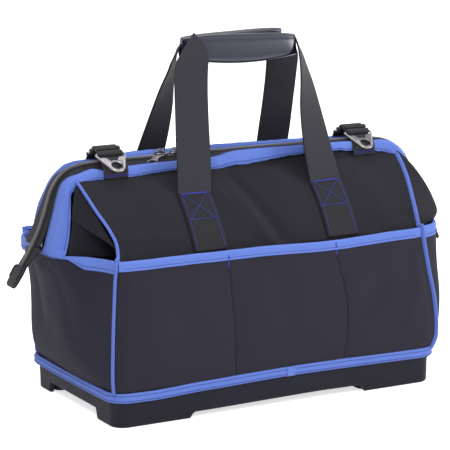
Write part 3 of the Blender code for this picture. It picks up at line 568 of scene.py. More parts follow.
# Body outline
# Distance of each corner seam from the middle, by height, and of each end's rim, by place across the bag
CORNER_KNOTS = {("front", "left"): ([0.040, 0.050, 0.060, 0.100, 0.150, 0.2083, 0.215],
                                    [0.2222, 0.2230, 0.2236, 0.2228, 0.2205, 0.2166, 0.2158]),
                ("front", "right"): ([0.040, 0.050, 0.057, 0.069, 0.110, 0.151, 0.2083, 0.215],
                                     [0.2260, 0.2320, 0.2358, 0.2374, 0.2338, 0.2243, 0.2125, 0.2112]),
                ("back", "left"): ([0.040, 0.060, 0.120, 0.160, 0.190, 0.2083, 0.215],
                                   [0.2280, 0.2290, 0.2295, 0.2320, 0.2380, 0.2415, 0.2415]),
                ("back", "right"): ([0.040, 0.060, 0.100, 0.150, 0.2083, 0.215],
                                    [0.2240, 0.2290, 0.2290, 0.2275, 0.2240, 0.2235])}
RIM_OUTLINES = {
    "left": ([-0.1135, -0.103, -0.090, -0.072, -0.056, -0.045, -0.030, 0.0, 0.040, 0.075, 0.100, 0.1135],
             [0.2166, 0.2195, 0.2250, 0.2370, 0.2520, 0.2610, 0.2665, 0.2680, 0.2670, 0.2620, 0.2530, 0.2415]),
    "right": ([-0.1135, -0.103, -0.090, -0.072, -0.050, -0.030, 0.0, 0.040, 0.075, 0.100, 0.1135],
              [0.2125, 0.2380, 0.2510, 0.2600, 0.2650, 0.2662, 0.2668, 0.2650, 0.2580, 0.2430, 0.2240])}
# Swell of each end pocket by height
BELLY = {"left": ([0.040, 0.046, 0.056, 0.068, 0.120, 0.215],
                  [0.0070, 0.0080, 0.0150, 0.0196, 0.0215, 0.0215]),
         "right": ([0.040, 0.046, 0.056, 0.068, 0.120, 0.215],
                   [0.0065, 0.0070, 0.0140, 0.0190, 0.0260, 0.0260])}


def corner_x(face, end, z):
    """Distance of a corner seam from the middle at height z: a smooth curve through the seam's heights."""
    return through(z, *CORNER_KNOTS[(face, end)])


def end_distance(end, y, z):
    """Distance of an end's outer face from the middle: the two corner seams joined by a line, plus a belly
    that swells quickly above the tray, fuller towards one corner, and passes slowly into the rim's own
    outline."""
    span = (y + OUTLINE_Y) / (2.0 * OUTLINE_Y)

    def straight(height):
        return corner_x("front", end, height) * (1.0 - span) + corner_x("back", end, height) * span

    share = np.clip((z - TRAY_TOP) / (RIM - TRAY_TOP), 0.0, 1.0)
    grown = share ** 1.2 + 0.10 * np.exp(-((z - 0.190) / 0.022) ** 2) * (1.0 - share ** 8)
    full = np.where((y > 0) == (end == "left"), 8.0, 3.0)
    base = through(z, *BELLY[end]) * (1.0 - np.abs(y / CORNER_Y) ** full)
    rim = through(y, *RIM_OUTLINES[end]) - straight(RIM)
    return straight(z) + base * (1.0 - grown) + rim * grown


def rim_height(face, x):
    """Height of the rim along a long side: level, with a slow sag right of the middle of the front."""
    return RIM - 0.0032 * np.exp(-((x - 0.078) / 0.065) ** 2) * (1.0 if face == "front" else 0.6)


# Moulded tray
def perimeter(half_x, half_y, radius, arc, straight):
    """Rounded rectangle as points and outward normals, starting at the middle of the right side."""
    points = []
    normals = []
    corners = ((1, 1, 0.0), (-1, 1, 0.5), (-1, -1, 1.0), (1, -1, 1.5))
    for sx, sy, start in corners:
        centre = np.array([sx * (half_x - radius), sy * (half_y - radius)])
        turn = np.pi * (start + 0.5 * np.arange(arc + 1) / arc)
        normal = np.stack([np.cos(turn), np.sin(turn)], axis=1)
        points.append(centre + radius * normal)
        normals.append(normal)
    outline = []
    outward = []
    for k in range(4):
        outline.append(points[k])
        outward.append(normals[k])
        a = points[k][-1]
        b = points[(k + 1) % 4][0]
        share = np.linspace(0.0, 1.0, straight + 2)[1:-1, None]
        outline.append(a * (1.0 - share) + b * share)
        outward.append(np.repeat(normals[k][-1:], straight, axis=0))
    return np.concatenate(outline), np.concatenate(outward)


def askew(x, y):
    """The base stands a little askew under the sheets: its ends shift with their place across the bag."""
    return x * 1.010 - 0.045 * y


def on_base(plan, z):
    """Points of a plan at a height, shifted with the base."""
    return xyz(askew(plan[:, 0], plan[:, 1]), plan[:, 1], z)


def foot_drop(x, y):
    """How far the skirt goes down: full at the four feet, none in the lanes, rounded steps between."""
    reach_x = ease((np.abs(x) - 0.1190) / 0.0060)
    reach_y = ease((np.abs(y) - 0.0600 - 0.0100 * (x * y < 0)) / 0.0050)
    return reach_x * reach_y


# Inset and height down the tray's wall: inner face, top edge, outer face and the step under the binding
TRAY_WALL = [(0.0048, 0.0130), (0.0034, 0.0145), (0.0030, 0.0450), (0.0026, 0.0458), (0.0008, 0.0460),
             (0.0, 0.0452), (0.0, 0.0330), (0.0, 0.0322), (0.0003, 0.0316), (0.0012, 0.0311), (0.0014, 0.0300)]


def make_tray():
    """Tray as closed rings: inner floor, inner wall, top edge, outer wall with a fine step under the binding,
    skirt down to the feet or lanes with a rounded bottom edge, and the underside."""
    ring, out = perimeter(0.2270, 0.1180, 0.0200, 16, 110)
    along = through(ring[:, 0], [-0.140, -0.090, -0.043, 0.006, 0.058, 0.100, 0.140],
                    [0.0072, 0.0074, 0.0081, 0.0089, 0.0095, 0.0091, 0.0088])
    lane = np.where(np.abs(ring[:, 1]) > 0.095, along, 0.0134)
    low = lane * (1.0 - foot_drop(ring[:, 0], ring[:, 1]))

    def level(inset, z):
        return on_base(ring - out * np.reshape(inset, (-1, 1)), z)

    rings = [on_base((ring - out * 0.006) * scale, 0.0130) for scale in (0.02, 0.35, 0.70, 0.95)]
    rings += [level(inset, z) for inset, z in TRAY_WALL]
    wall = 0.0014 + 0.0006 * (0.030 - low - 0.004) / 0.030
    for share in (0.25, 0.5, 0.75, 1.0):
        rings.append(level(0.0014 + (wall - 0.0014) * share, 0.030 + (low + 0.0030 - 0.030) * share))
    for turn in np.radians((20.0, 40.0, 60.0, 78.0, 90.0)):
        rings.append(level(wall + 0.0028 * (1.0 - math.cos(turn)), low + 0.0030 * (1.0 - math.sin(turn))))
    rings += [level(0.0080, low), level(0.0084, low + 0.0006), level(0.0086, np.maximum(low, 0.0116)),
              level(0.0095, 0.0120)]
    rings += [on_base((ring - out * 0.010) * scale, 0.0120) for scale in (0.9, 0.6, 0.3, 0.02)]
    tray = solid("tray_shell", np.array(rings), TRAY_PLASTIC, "shell", sharp=38.0)
    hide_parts("base_tray")
    for face, sy, end, sx in CORNERS:
        shorter = 0.0050 if sx * sy < 0 else 0.0
        plan, normal = perimeter(0.0480, 0.0240 - shorter, 0.0110, 6, 6)
        middle = np.array([sx * 0.1690, sy * (0.0860 + shorter)])
        pad = [on_base(plan - normal * inset + middle, z) for inset, z in
               ((0.0, 0.0125), (0.0, 0.0030), (0.0006, 0.0010), (0.0022, 0.0003), (0.020, 0.0003))]
        foot = solid("foot_pad_%s_%s" % (face, end), np.array(pad), TRAY_PLASTIC, "shell", sharp=38.0)


make_tray()


# Base binding
def binding_bottom(x, y):
    """Lower edge of the base tape: it sags at the corners and is pulled up along the long sides."""
    front = through(x, [-0.235, -0.200, -0.170, -0.120, -0.070, 0.010, 0.110, 0.200, 0.240],
                    [0.0335, 0.0322, 0.0318, 0.0340, 0.0352, 0.0372, 0.0366, 0.0352, 0.0350])
    ends = 0.0338 - 0.0012 * np.cos(np.pi * y / 0.24)
    share = ease((np.abs(y) - 0.085) / 0.030)
    return front * share + ends * (1.0 - share)


def base_band():
    """Folded tape carried round the tray's top edge, two rows of stitches and the overlapped join."""
    ring, out = perimeter(0.2315, 0.1206, 0.0240, 16, 90)
    x = askew(ring[:, 0], ring[:, 1])
    y = ring[:, 1]
    bottom = binding_bottom(x, y)
    wave = 0.00035 * ripple(ring[:, 0], y, 3, 0.05)

    def level(proud, height):
        return xyz(x + out[:, 0] * (proud + wave), y + out[:, 1] * (proud + wave), bottom + height)

    profile = [(-0.0040, 0.0016), (-0.0014, 0.0002), (0.0002, 0.0004), (0.0009, 0.0018), (0.0012, 0.0045),
               (0.0012, 0.0085), (0.0008, 0.0110), (0.0001, 0.0123), (-0.0014, 0.0126), (-0.0040, 0.0112)]
    band = np.swapaxes([level(d, h) for d, h in profile], 0, 1)
    tape = solid("base_tape", band, BLUE_TAPE, "shell", joined=True, sharp=50.0)
    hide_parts("base_binding")
    loop = np.append(np.arange(len(ring)), 0)
    normal = xyz(out[:, 0], out[:, 1], 0.0)[loop]
    rows = [(level(0.0014, height)[loop], normal) for height in (0.0030, 0.0092)]
    stitches("base_tape_stitches", rows, SEAM_THREAD, "shell", 0.0032, 0.0018, 0.0006, 0.0004)
    join_x = 0.0115
    low = binding_bottom(join_x, -0.12)
    plan = [[(join_x + dx + 0.0014 * t, y, low + 0.0003 + 0.0120 * t) for t in (0.0, 0.2, 0.5, 0.8, 1.0)]
            for dx, y in ((0.0, -0.1221), (0.0003, -0.1226), (0.0022, -0.1229), (0.0120, -0.1225))]
    join = cloth("base_tape_join", np.array(plan, float), BLUE_TAPE, "shell", (0, -1, 0), 0.0006)


base_band()


# Pocket sheets of the long sides
SEAM_HEIGHTS = [0.040, 0.052, 0.086, 0.117, 0.149, 0.177, 0.210]
LEFT_SEAM = np.array([-0.0590, -0.0593, -0.0597, -0.0610, -0.0640, -0.0668, -0.0700])
RIGHT_SEAM = np.array([0.0955, 0.0972, 0.1012, 0.1010, 0.0955, 0.0875, 0.0820])
SEAMS = {"front": (LEFT_SEAM, RIGHT_SEAM), "back": (-RIGHT_SEAM, -LEFT_SEAM)}
FRONT_FOLDS = [((0.205, 0.190), (0.120, 0.105), 0.016, -0.0024),
               ((0.185, 0.200), (0.165, 0.135), 0.012, 0.0012),
               ((0.060, 0.185), (0.030, 0.110), 0.022, 0.0009),
               ((-0.150, 0.190), (-0.175, 0.090), 0.026, 0.0010),
               ((0.150, 0.085), (0.205, 0.060), 0.020, -0.0014),
               ((-0.030, 0.090), (0.050, 0.075), 0.022, -0.0010),
               ((0.215, 0.150), (0.190, 0.080), 0.012, 0.0012)]


def seam_x(face, number, z):
    return through(z, SEAM_HEIGHTS, SEAMS[face][number])


def long_face(face, side, u, z):
    """Outer face of a long side at a share u of three pockets and height z: each pocket bellies a little
    between its seams, the seams lie in narrow grooves, and a few soft folds run across."""
    left = -corner_x(face, "left", z) + 0.0010
    right = corner_x(face, "right", z) - 0.0010
    bounds = [left, seam_x(face, 0, z), seam_x(face, 1, z), right]
    part = np.clip(np.floor(u).astype(int), 0, 2)
    share = u - part
    low = np.choose(part, bounds[:3])
    high = np.choose(part, bounds[1:])
    x = low + (high - low) * share
    away = np.minimum(share, 1.0 - share) * (high - low)
    upright = np.clip((z - SHEET_FOOT) / (RIM - SHEET_FOOT), 0.0, 1.0)
    calm = 1.0 - 0.8 * ease((z - 0.184) / 0.012)
    swell = 1.0 - np.abs(2.0 * share - 1.0) ** 3.2
    belly = 0.0030 * calm * swell * (0.35 + 0.65 * np.sin(np.pi * upright ** 0.85))
    groove = -0.0011 * np.exp(-(away / 0.0013) ** 2)
    wave = calm * (0.0006 * ripple(x, z, 11 if side < 0 else 12, 0.09) + folds(-side * x, z, FRONT_FOLDS))
    tuck = ease(np.minimum(x - left, right - x) / 0.016)
    return xyz(x, side * (FACE_Y - 0.0028 * (1.0 - tuck) + (belly + wave) * tuck + groove), z)


def pocket_columns():
    """Shares across three pockets, crowded beside the seams."""
    spread = np.linspace(0.0, 1.0, 49)
    bunched = 0.5 - 0.5 * np.cos(np.pi * spread)
    one = 0.35 * spread + 0.65 * bunched
    return np.concatenate([one, one[1:] + 1.0, one[1:] + 2.0])


def make_long_sides():
    for face, side in FACES:
        u, z = np.meshgrid(pocket_columns(), np.linspace(SHEET_FOOT, RIM - 0.004, 56))
        sheet = cloth("pocket_sheet_" + face, long_face(face, side, u, z), FRONT_CLOTH, "shell", (0, side, 0),
                      0.0024)
        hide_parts(face + "_pocket")
        level = np.linspace(SHEET_FOOT + 0.004, RIM - 0.020, 60)
        runs = []
        for number in (0, 1):
            y = long_face(face, side, np.full(60, 1.0 + number - 1e-6), level)[:, 1] + side * 0.0001
            runs.append((xyz(seam_x(face, number, level), y, level), (0.0, side, 0.0)))
        stitches("divider_stitches_" + face, runs, ZIP_TAPE, "shell", 0.0030, 0.0021, 0.0004, 0.0003)
        make_long_rim(face, side)


def make_long_rim(face, side):
    """Rim tape: a folded band from corner to corner over the sheet's top edge, its lower lip proud."""
    x = np.linspace(-corner_x(face, "left", RIM) + 0.001, corner_x(face, "right", RIM) - 0.001, 110)
    top = rim_height(face, x) + 0.0003 * ripple(x, 0.0, 21, 0.06)
    edge = ease(np.minimum(x - x[0], x[-1] - x) / 0.014)
    y = side * (FACE_Y + 0.0004 - 0.0026 * (1.0 - edge) + 0.0004 * ripple(x, 0.0, 22, 0.11))
    profile = [(0.0006, -0.0122), (0.0013, -0.0118), (0.0015, -0.0100), (0.0009, -0.0088), (0.0012, -0.0070),
               (0.0014, -0.0040), (0.0010, -0.0012), (0.0, 0.0), (-0.0018, 0.0002), (-0.0038, -0.0012),
               (-0.0040, -0.0060), (-0.0036, -0.0122)]
    band = np.swapaxes([xyz(x, y + side * d, top + h) for d, h in profile], 0, 1)
    tape = solid("rim_tape_" + face, band, BLUE_TAPE, "shell", sharp=60.0)
    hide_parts(face + "_rim_binding")
    out = (0.0, side, 0.0)
    row = xyz(x, y + side * 0.0010, top - 0.0088)[2:-2]
    stitches("rim_stitches_" + face, [(row, out)], SEAM_THREAD, "shell", 0.0029, 0.0020, 0.0004,
                     0.0003)
    level = np.linspace(RIM - 0.0055, RIM - 0.0215, 9)
    bar_y = side * (FACE_Y + 0.0016 - 0.0018 * ease((RIM - 0.0115 - level) / 0.002))
    bars = [(xyz(seam_x(face, number, level), bar_y, level), out) for number in (0, 1)]
    stitches("bar_tacks_" + face, bars, BLUE_THREAD, "shell", 0.0010, 0.0013, 0.0011, 0.0007)


make_long_sides()


# End pockets
def end_rim_top(y):
    """Height of an end rim: it dips a little where it tucks under the zip and casing ends."""
    return RIM - 0.0024 * np.exp(-(np.abs(y) / 0.050) ** 4)


def end_rim_depth(y):
    """Visible height of the end rim tape: full near the corners, a narrow lip under the casing ends."""
    return 0.0158 - 0.0122 * (1.0 - ease((np.abs(y) - 0.050) / 0.022))


def end_point(end, side, y, z, offset):
    return xyz(side * (end_distance(end, y, np.maximum(z, TRAY_TOP)) + offset), y, z)


END_FOLDS = [((-0.030, 0.200), (-0.045, 0.110), 0.012, -0.0030),
             ((-0.062, 0.200), (-0.070, 0.130), 0.012, 0.0018),
             ((0.000, 0.195), (0.010, 0.120), 0.018, 0.0018),
             ((0.050, 0.200), (0.040, 0.110), 0.014, -0.0020),
             ((-0.090, 0.090), (-0.020, 0.062), 0.020, -0.0016)]


def make_ends():
    """Pocket sheet of each end and the stiff wall inside it."""
    spread = np.linspace(-1.0, 1.0, 97)
    y = CORNER_Y * (0.55 * spread + 0.45 * np.sin(np.pi * spread / 2.0))
    share = np.linspace(0.0, 1.0, 60)[:, None]
    for end, side in ENDS:
        z = SHEET_FOOT + (end_rim_top(y) - 0.0030 - SHEET_FOOT) * share
        tuck = ease((CORNER_Y - np.abs(y)) / 0.014)
        calm = 1.0 - ease((z - 0.180) / 0.014)
        pull = calm * (folds(y, z, END_FOLDS) + 0.0008 * ripple(y, z, 31 if side < 0 else 32, 0.10))
        points = end_point(end, side, y, z, pull * tuck - 0.0006)
        sheet = cloth("pocket_sheet_" + end, points, END_CLOTH, "shell", (side, 0, 0), 0.0024)
        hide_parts(end + "_pocket")
        low = float(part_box(end + "_wall")[0][2])
        points = end_point(end, side, y * 0.974, low + (RIM - 0.0045 - low) * share, -0.0060)
        wall = cloth("end_wall_" + end, points, WALL_CLOTH, "shell", (side, 0, 0), 0.0016)
        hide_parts(end + "_wall")
        make_end_rim(end, side)


def make_end_rim(end, side):
    """Rim tape of an end: the same kind of folded band, squared to the end's outline at each place."""
    lip = np.linspace(-0.1140, 0.1140, 120)
    top = end_rim_top(lip)
    near = end_distance(end, lip, top - 0.004)
    out = unit(xyz(side, -np.gradient(near, lip), 0.0))
    base = xyz(side * near, lip, top)
    depth = xyz(0.0, 0.0, end_rim_depth(lip))
    profile = [(0.0004, -1.0), (0.0012, -0.96), (0.0014, -0.82), (0.0008, -0.72), (0.0012, -0.55),
               (0.0014, -0.3), (0.0010, -0.1), (0.0, 0.0), (-0.0018, 0.01), (-0.0038, -0.1), (-0.0040, -0.5),
               (-0.0036, -1.0)]
    band = np.swapaxes([base + out * d + depth * h for d, h in profile], 0, 1)
    tape = solid("rim_tape_" + end, band, BLUE_TAPE, "shell", sharp=60.0)
    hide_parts(end + "_rim_binding")
    row = base + out * 0.0010 - depth * 0.72
    runs = [(row[part], out[part]) for part in (lip < -0.060, lip > 0.060)]
    stitches("rim_stitches_" + end, runs, SEAM_THREAD, "shell", 0.0029, 0.0020, 0.0005, 0.0003)


make_ends()


# Corner seams
def corner_line(face, end, heights):
    return xyz(SIGN[end] * (corner_x(face, end, heights) + 0.0012), SIGN[face] * CORNER_Y, heights)


def make_corner_seams():
    """Bound seam: a flattened bead standing out from each corner, from the base tape to the rim."""
    bead = mirrored([(-0.0017, -0.0030), (-0.0021, 0.0002), (-0.0019, 0.0021), (-0.0011, 0.0034),
                     (0.0, 0.0038)])
    heights = np.linspace(0.0455, 0.2125, 60)
    for face, ys, end, xs in CORNERS:
        path = corner_line(face, end, heights)
        path[:, 1] += ys * 0.0012 * np.exp(-((heights - RIM + 0.004) / 0.012) ** 2)
        ways = frames_along(path, (xs * 0.55, ys * 0.83, 0.0))
        thing = solid("corner_seam_%s_%s" % (face, end), carried(path, *ways, bead), BLUE_SEAM, "shell",
                      sharp=70.0)
        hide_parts("corner_piping_%s_%s" % (face, end))


make_corner_seams()


# Upper panels with their beads and handle anchors
PANEL_FOOT = np.array([0.1108, 0.2045])
PANEL_HEAD = np.array([0.0280, 0.2935])
PANEL_CHORD = PANEL_HEAD - PANEL_FOOT
PANEL_OUT = np.array([PANEL_CHORD[1], -PANEL_CHORD[0]]) / np.linalg.norm(PANEL_CHORD)
PANEL_RUN = 0.1216
PANEL_SHARES = [0.0, 0.18, 0.36, 0.60, 0.82, 1.0]
PANEL_EDGES = ([0.2130, 0.2094, 0.2130, 0.2222, 0.2275, 0.2300],
               [0.2128, 0.2150, 0.2172, 0.2216, 0.2252, 0.2272])
PANEL_FOLDS = [((-0.054, 0.098), (-0.002, 0.006), 0.011, 0.0026),
               ((-0.024, 0.108), (0.014, 0.006), 0.009, -0.0030),
               ((-0.047, 0.092), (-0.020, 0.035), 0.006, -0.0014),
               ((0.030, 0.108), (0.040, 0.020), 0.018, 0.0014),
               ((0.150, 0.100), (0.172, 0.010), 0.016, 0.0013),
               ((-0.150, 0.104), (-0.128, 0.020), 0.020, 0.0012),
               ((0.135, 0.012), (0.205, 0.024), 0.008, -0.0012),
               ((-0.205, 0.030), (-0.130, 0.024), 0.009, 0.0010)]


def panel_edge(side, sx, share):
    """Distance of a panel's end edge from the middle; the back panel is the front one turned half round."""
    return through(share, PANEL_SHARES, PANEL_EDGES[0 if sx * side > 0 else 1])


def panel_section(share):
    """Distance and height of an upper panel across the bag: chord from rim to mouth with a shallow outward
    belly, and past the mouth edge straight up inside the band."""
    above = np.maximum(share - 1.0, 0.0)
    share = np.minimum(share, 1.0)
    belly = 4.0 * 0.0085 * share * (1.0 - share)
    y = PANEL_FOOT[0] + PANEL_CHORD[0] * share + PANEL_OUT[0] * belly - 0.060 * above
    z = PANEL_FOOT[1] + PANEL_CHORD[1] * share + PANEL_OUT[1] * belly + PANEL_RUN * above
    return y, z


def panel_surface(side, x, share, lift=0.0):
    """Point on an upper panel with its soft folds, moved outwards by lift."""
    y, z = panel_section(share)
    local = -side * x
    arc = share * PANEL_RUN
    fade = ease(share / 0.08) * ease((1.0 - share) / 0.12)
    out = lift + fade * (1.35 * folds(local, arc, PANEL_FOLDS) + 0.0009 * ripple(local, arc, 41, 0.09))
    return xyz(x, side * (y + PANEL_OUT[0] * out), z + PANEL_OUT[1] * out)


def make_panels():
    """Each panel, and a bound bead up both of its end edges that starts on the corner seam."""
    share = np.concatenate([np.linspace(0.0, 1.0, 44), [1.05, 1.09]])[:, None]
    line = np.linspace(0.02, 0.985, 50)
    bead = mirrored([(-0.0016, -0.0028), (-0.0020, 0.0002), (-0.0018, 0.0020), (-0.0010, 0.0031),
                     (0.0, 0.0034)])
    for face, side in FACES:
        low = -panel_edge(side, -1.0, share)
        x = low + (panel_edge(side, 1.0, share) - low) * np.linspace(0.0, 1.0, 150)
        tucked = 0.08 + 0.92 * ease((0.2140 - np.abs(x)) / 0.0200)
        reach = np.minimum(share, 1.0) + np.maximum(share - 1.0, 0.0) * tucked
        points = panel_surface(side, x, reach)
        panel = cloth("upper_panel_sheet_" + face, points, UPPER_CLOTH, None, (0, side, 1), 0.0022)
        bend_with_mouth(panel)
        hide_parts("upper_panel_" + face)
        for end, sx in ENDS:
            path = panel_surface(side, sx * panel_edge(side, sx, line), line)
            first = corner_line(face, end, np.array([0.2040, 0.2090]))
            first[:, 1] += side * 0.0010
            path = through_points(np.concatenate([first, path[2:]]), 70)
            ways = frames_along(path, (sx * 0.55, side * 0.60, 0.45))
            thing = solid("panel_seam_%s_%s" % (face, end), carried(path, *ways, bead), BLUE_SEAM, None,
                          sharp=70.0)
            bend_with_mouth(thing)


make_panels()


# Rows of box stitching on a handle's sewn end, each from one (place across, share up the panel) to another
BOX_ROWS = [(-0.82, 0.05, -0.82, 0.66), (0.82, 0.05, 0.82, 0.66), (-0.78, 0.37, 0.78, 0.37),
            (-0.78, 0.37, 0.74, 0.665), (-0.74, 0.665, 0.78, 0.37)]
BOX_BAR = [(-0.80, 0.678, 0.80, 0.678)]


def sewn_end(side, sx, u, share, lift):
    """Point on a handle's sewn end, u from -1 to 1 across it. Both handles sit a little to the right of the
    middle of their own side, and the strips slant a little."""
    slant = 0.0015 * side * (1.0 - share) * (1.0 if sx * side < 0 else 0.6)
    x = sx * 0.094 - side * HANDLE_SHIFT + ANCHOR_HALF * u + slant
    return panel_surface(side, x, np.broadcast_to(share, x.shape), lift)


def make_anchors():
    """Sewn webbing: a strip on the panel from the rim to the handle's foot, and its box stitching."""
    share = np.linspace(0.02, 0.69, 34)[:, None]
    u = np.linspace(-1.0, 1.0, 17)
    t = np.linspace(0.0, 1.0, 30)
    for face, side, end, sx in CORNERS:
        tag = "%s_%s" % (face, end)
        points = sewn_end(side, sx, u, share, 0.0029 - 0.0007 * np.abs(u) ** 8)
        # The sewn strip carries the darker copy of the strap webbing: painted shade.
        strip = cloth("sewn_webbing_painted_shade_" + tag, points, SEWN_WEBBING_PAINTED_SHADE, None, (0, side, 1), 0.0018)
        bend_with_mouth(strip)
        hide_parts("handle_anchor_" + tag)
        for name, rows, sizes in (("box_stitches_", BOX_ROWS, (0.0032, 0.0019, 0.0006, 0.0005)),
                                  ("box_bar_", BOX_BAR, (0.0012, 0.0016, 0.0009, 0.0006))):
            runs = [(sewn_end(side, sx, u0 + (u1 - u0) * t, s0 + (s1 - s0) * t, 0.0031),
                     (0.0, side * 0.72, 0.69)) for u0, s0, u1, s1 in rows]
            made = stitches(name + tag, runs, BLUE_THREAD, None, *sizes)
            bend_with_mouth(made)


make_anchors()


# Casings sewn round the mouth frames: zip edge, outer edge, lower edge and inner edge of each station
FLAP_END = [
    [(0.2712, 0.0135, 0.2063), (0.2685, 0.0340, 0.2059), (0.2570, 0.0510, 0.2045), (0.2580, 0.0125, 0.2118)],
    [(0.2678, 0.0135, 0.2200), (0.2652, 0.0330, 0.2195), (0.2520, 0.0480, 0.2190), (0.2550, 0.0125, 0.2210)],
    [(0.2638, 0.0135, 0.2334), (0.2614, 0.0320, 0.2330), (0.2488, 0.0460, 0.2310), (0.2520, 0.0125, 0.2335)],
    [(0.2568, 0.0135, 0.2567), (0.2545, 0.0300, 0.2570), (0.2452, 0.0420, 0.2520), (0.2450, 0.0125, 0.2550)],
    [(0.2512, 0.0135, 0.2750), (0.2490, 0.0285, 0.2755), (0.2420, 0.0370, 0.2700), (0.2395, 0.0125, 0.2715)],
    [(0.2465, 0.0138, 0.2880), (0.2445, 0.0275, 0.2885), (0.2385, 0.0320, 0.2800), (0.2350, 0.0122, 0.2820)],
    [(0.2385, 0.0145, 0.2965), (0.2370, 0.0268, 0.2965), (0.2290, 0.0290, 0.2860), (0.2270, 0.0118, 0.2880)],
    [(0.2250, 0.0160, 0.3008), (0.2240, 0.0264, 0.3008), (0.2180, 0.0284, 0.2900), (0.2180, 0.0115, 0.2925)],
]
COVERED_END = [
    [(0.2690, 0.0290, 0.2063), (0.2655, 0.0415, 0.2059), (0.2560, 0.0530, 0.2062), (0.2560, 0.0250, 0.2118)],
    [(0.2665, 0.0290, 0.2200), (0.2628, 0.0410, 0.2195), (0.2540, 0.0500, 0.2170), (0.2540, 0.0250, 0.2210)],
    [(0.2630, 0.0288, 0.2334), (0.2603, 0.0405, 0.2330), (0.2515, 0.0480, 0.2290), (0.2510, 0.0240, 0.2335)],
    [(0.2562, 0.0280, 0.2567), (0.2545, 0.0395, 0.2560), (0.2455, 0.0440, 0.2500), (0.2445, 0.0230, 0.2550)],
    [(0.2500, 0.0262, 0.2750), (0.2460, 0.0375, 0.2745), (0.2385, 0.0390, 0.2685), (0.2385, 0.0210, 0.2715)],
    [(0.2440, 0.0240, 0.2885), (0.2385, 0.0350, 0.2880), (0.2310, 0.0345, 0.2800), (0.2315, 0.0190, 0.2820)],
    [(0.2360, 0.0215, 0.2985), (0.2300, 0.0320, 0.2980), (0.2235, 0.0310, 0.2860), (0.2245, 0.0160, 0.2890)],
    [(0.2230, 0.0190, 0.3070), (0.2200, 0.0285, 0.3065), (0.2150, 0.0290, 0.2930), (0.2160, 0.0130, 0.2950)],
]
MOUTH_STATIONS = [[(x, 0.0178, 0.3100), (x, 0.0262, 0.3098), (x, 0.0282, 0.2952), (x, 0.0140, 0.2982)]
                  for x in (-0.1900, -0.1200, -0.0600, 0.0, 0.0600, 0.1200, 0.1900)]
# Height of the band's top and lower edge along the mouth, by place from left to right
MOUTH_TOP = ([-0.212, -0.200, -0.140, -0.060, -0.036, -0.014, 0.010, 0.084, 0.159, 0.212],
             [0.3030, 0.3032, 0.3060, 0.3066, 0.3072, 0.3116, 0.3126, 0.3120, 0.3112, 0.3090])
BACK_TOP = ([-0.212, -0.160, -0.050, 0.017, 0.070, 0.110, 0.160, 0.212],
            [0.3080, 0.3115, 0.3135, 0.3150, 0.3145, 0.3156, 0.3138, 0.3085])
MOUTH_LOW = ([-0.212, -0.163, -0.139, -0.097, -0.042, -0.019, 0.022, 0.069, 0.144, 0.190, 0.212],
             [0.2930, 0.2925, 0.2945, 0.2966, 0.2922, 0.2952, 0.2968, 0.3015, 0.3015, 0.2975, 0.2970])


def casing_stations(side):
    """Stations of a casing from the left foot over the mouth to the right one, its lower edge puckered."""
    flap = np.array(FLAP_END) * np.array([-1.0, 1.0, 1.0])
    both = np.concatenate([flap, MOUTH_STATIONS, COVERED_END[::-1]])
    run = distances(both[:, 1])
    along = np.linspace(0.0, run[-1], 300)
    dense = through(along, run, both)
    inside = ease((0.2120 - np.abs(dense[:, 1, 0])) / 0.020)
    crown = through(dense[:, 1, 0], *(MOUTH_TOP if side < 0 else BACK_TOP))
    seam = crown + 0.0002 if side < 0 else np.minimum(crown - 0.0010, 0.3098)
    under = through(dense[:, 1, 0], *MOUTH_LOW)
    for part, height, y in ((0, seam, 0.0178), (1, crown, 0.0262), (2, under, 0.0282),
                            (3, under + 0.0030, 0.0140)):
        dense[:, part, 2] += inside * (height - dense[:, part, 2])
        dense[:, part, 1] += inside * (y - dense[:, part, 1])
    if side > 0:
        dense[..., 0] *= -1.0
    top = ease((dense[:, 2, 2] - 0.270) / 0.02)
    wave = ripple(along, 0.0, 51 if side < 0 else 52, 0.055)
    quick = ripple(along, 0.0, 53 if side < 0 else 54, 0.018)
    dense[:, 2, 2] += top * (0.0012 * wave + 0.0011 * quick)
    dense[:, 2, 1] += 0.0007 * wave + 0.0006 * quick
    dense[:, 1, 2] += top * 0.0005 * quick
    dense[:, 1, 1] += top * 0.0006 * quick
    return dense


def casing_ring(zip_edge, outer, lower, inner):
    """Closed smooth section through a station's four edges and a point between each two: a little full on the
    band, drawn in on the flaps. The points are repeated past both ends so that the section joins smoothly."""
    full = outer - inner
    drawn = 0.05 - 0.17 * ease((0.284 - outer[2]) / 0.03)
    knots = [zip_edge, zip_edge * 0.45 + outer * 0.55 + full * 0.03, outer,
             outer * 0.5 + lower * 0.5 + full * drawn, lower, lower * 0.6 + inner * 0.4, inner,
             inner * 0.5 + zip_edge * 0.5]
    repeated = knots[-2:] + knots + knots[:3]
    return through(np.linspace(0.0, 8.0, 32, endpoint=False), np.arange(-2, 11), repeated)


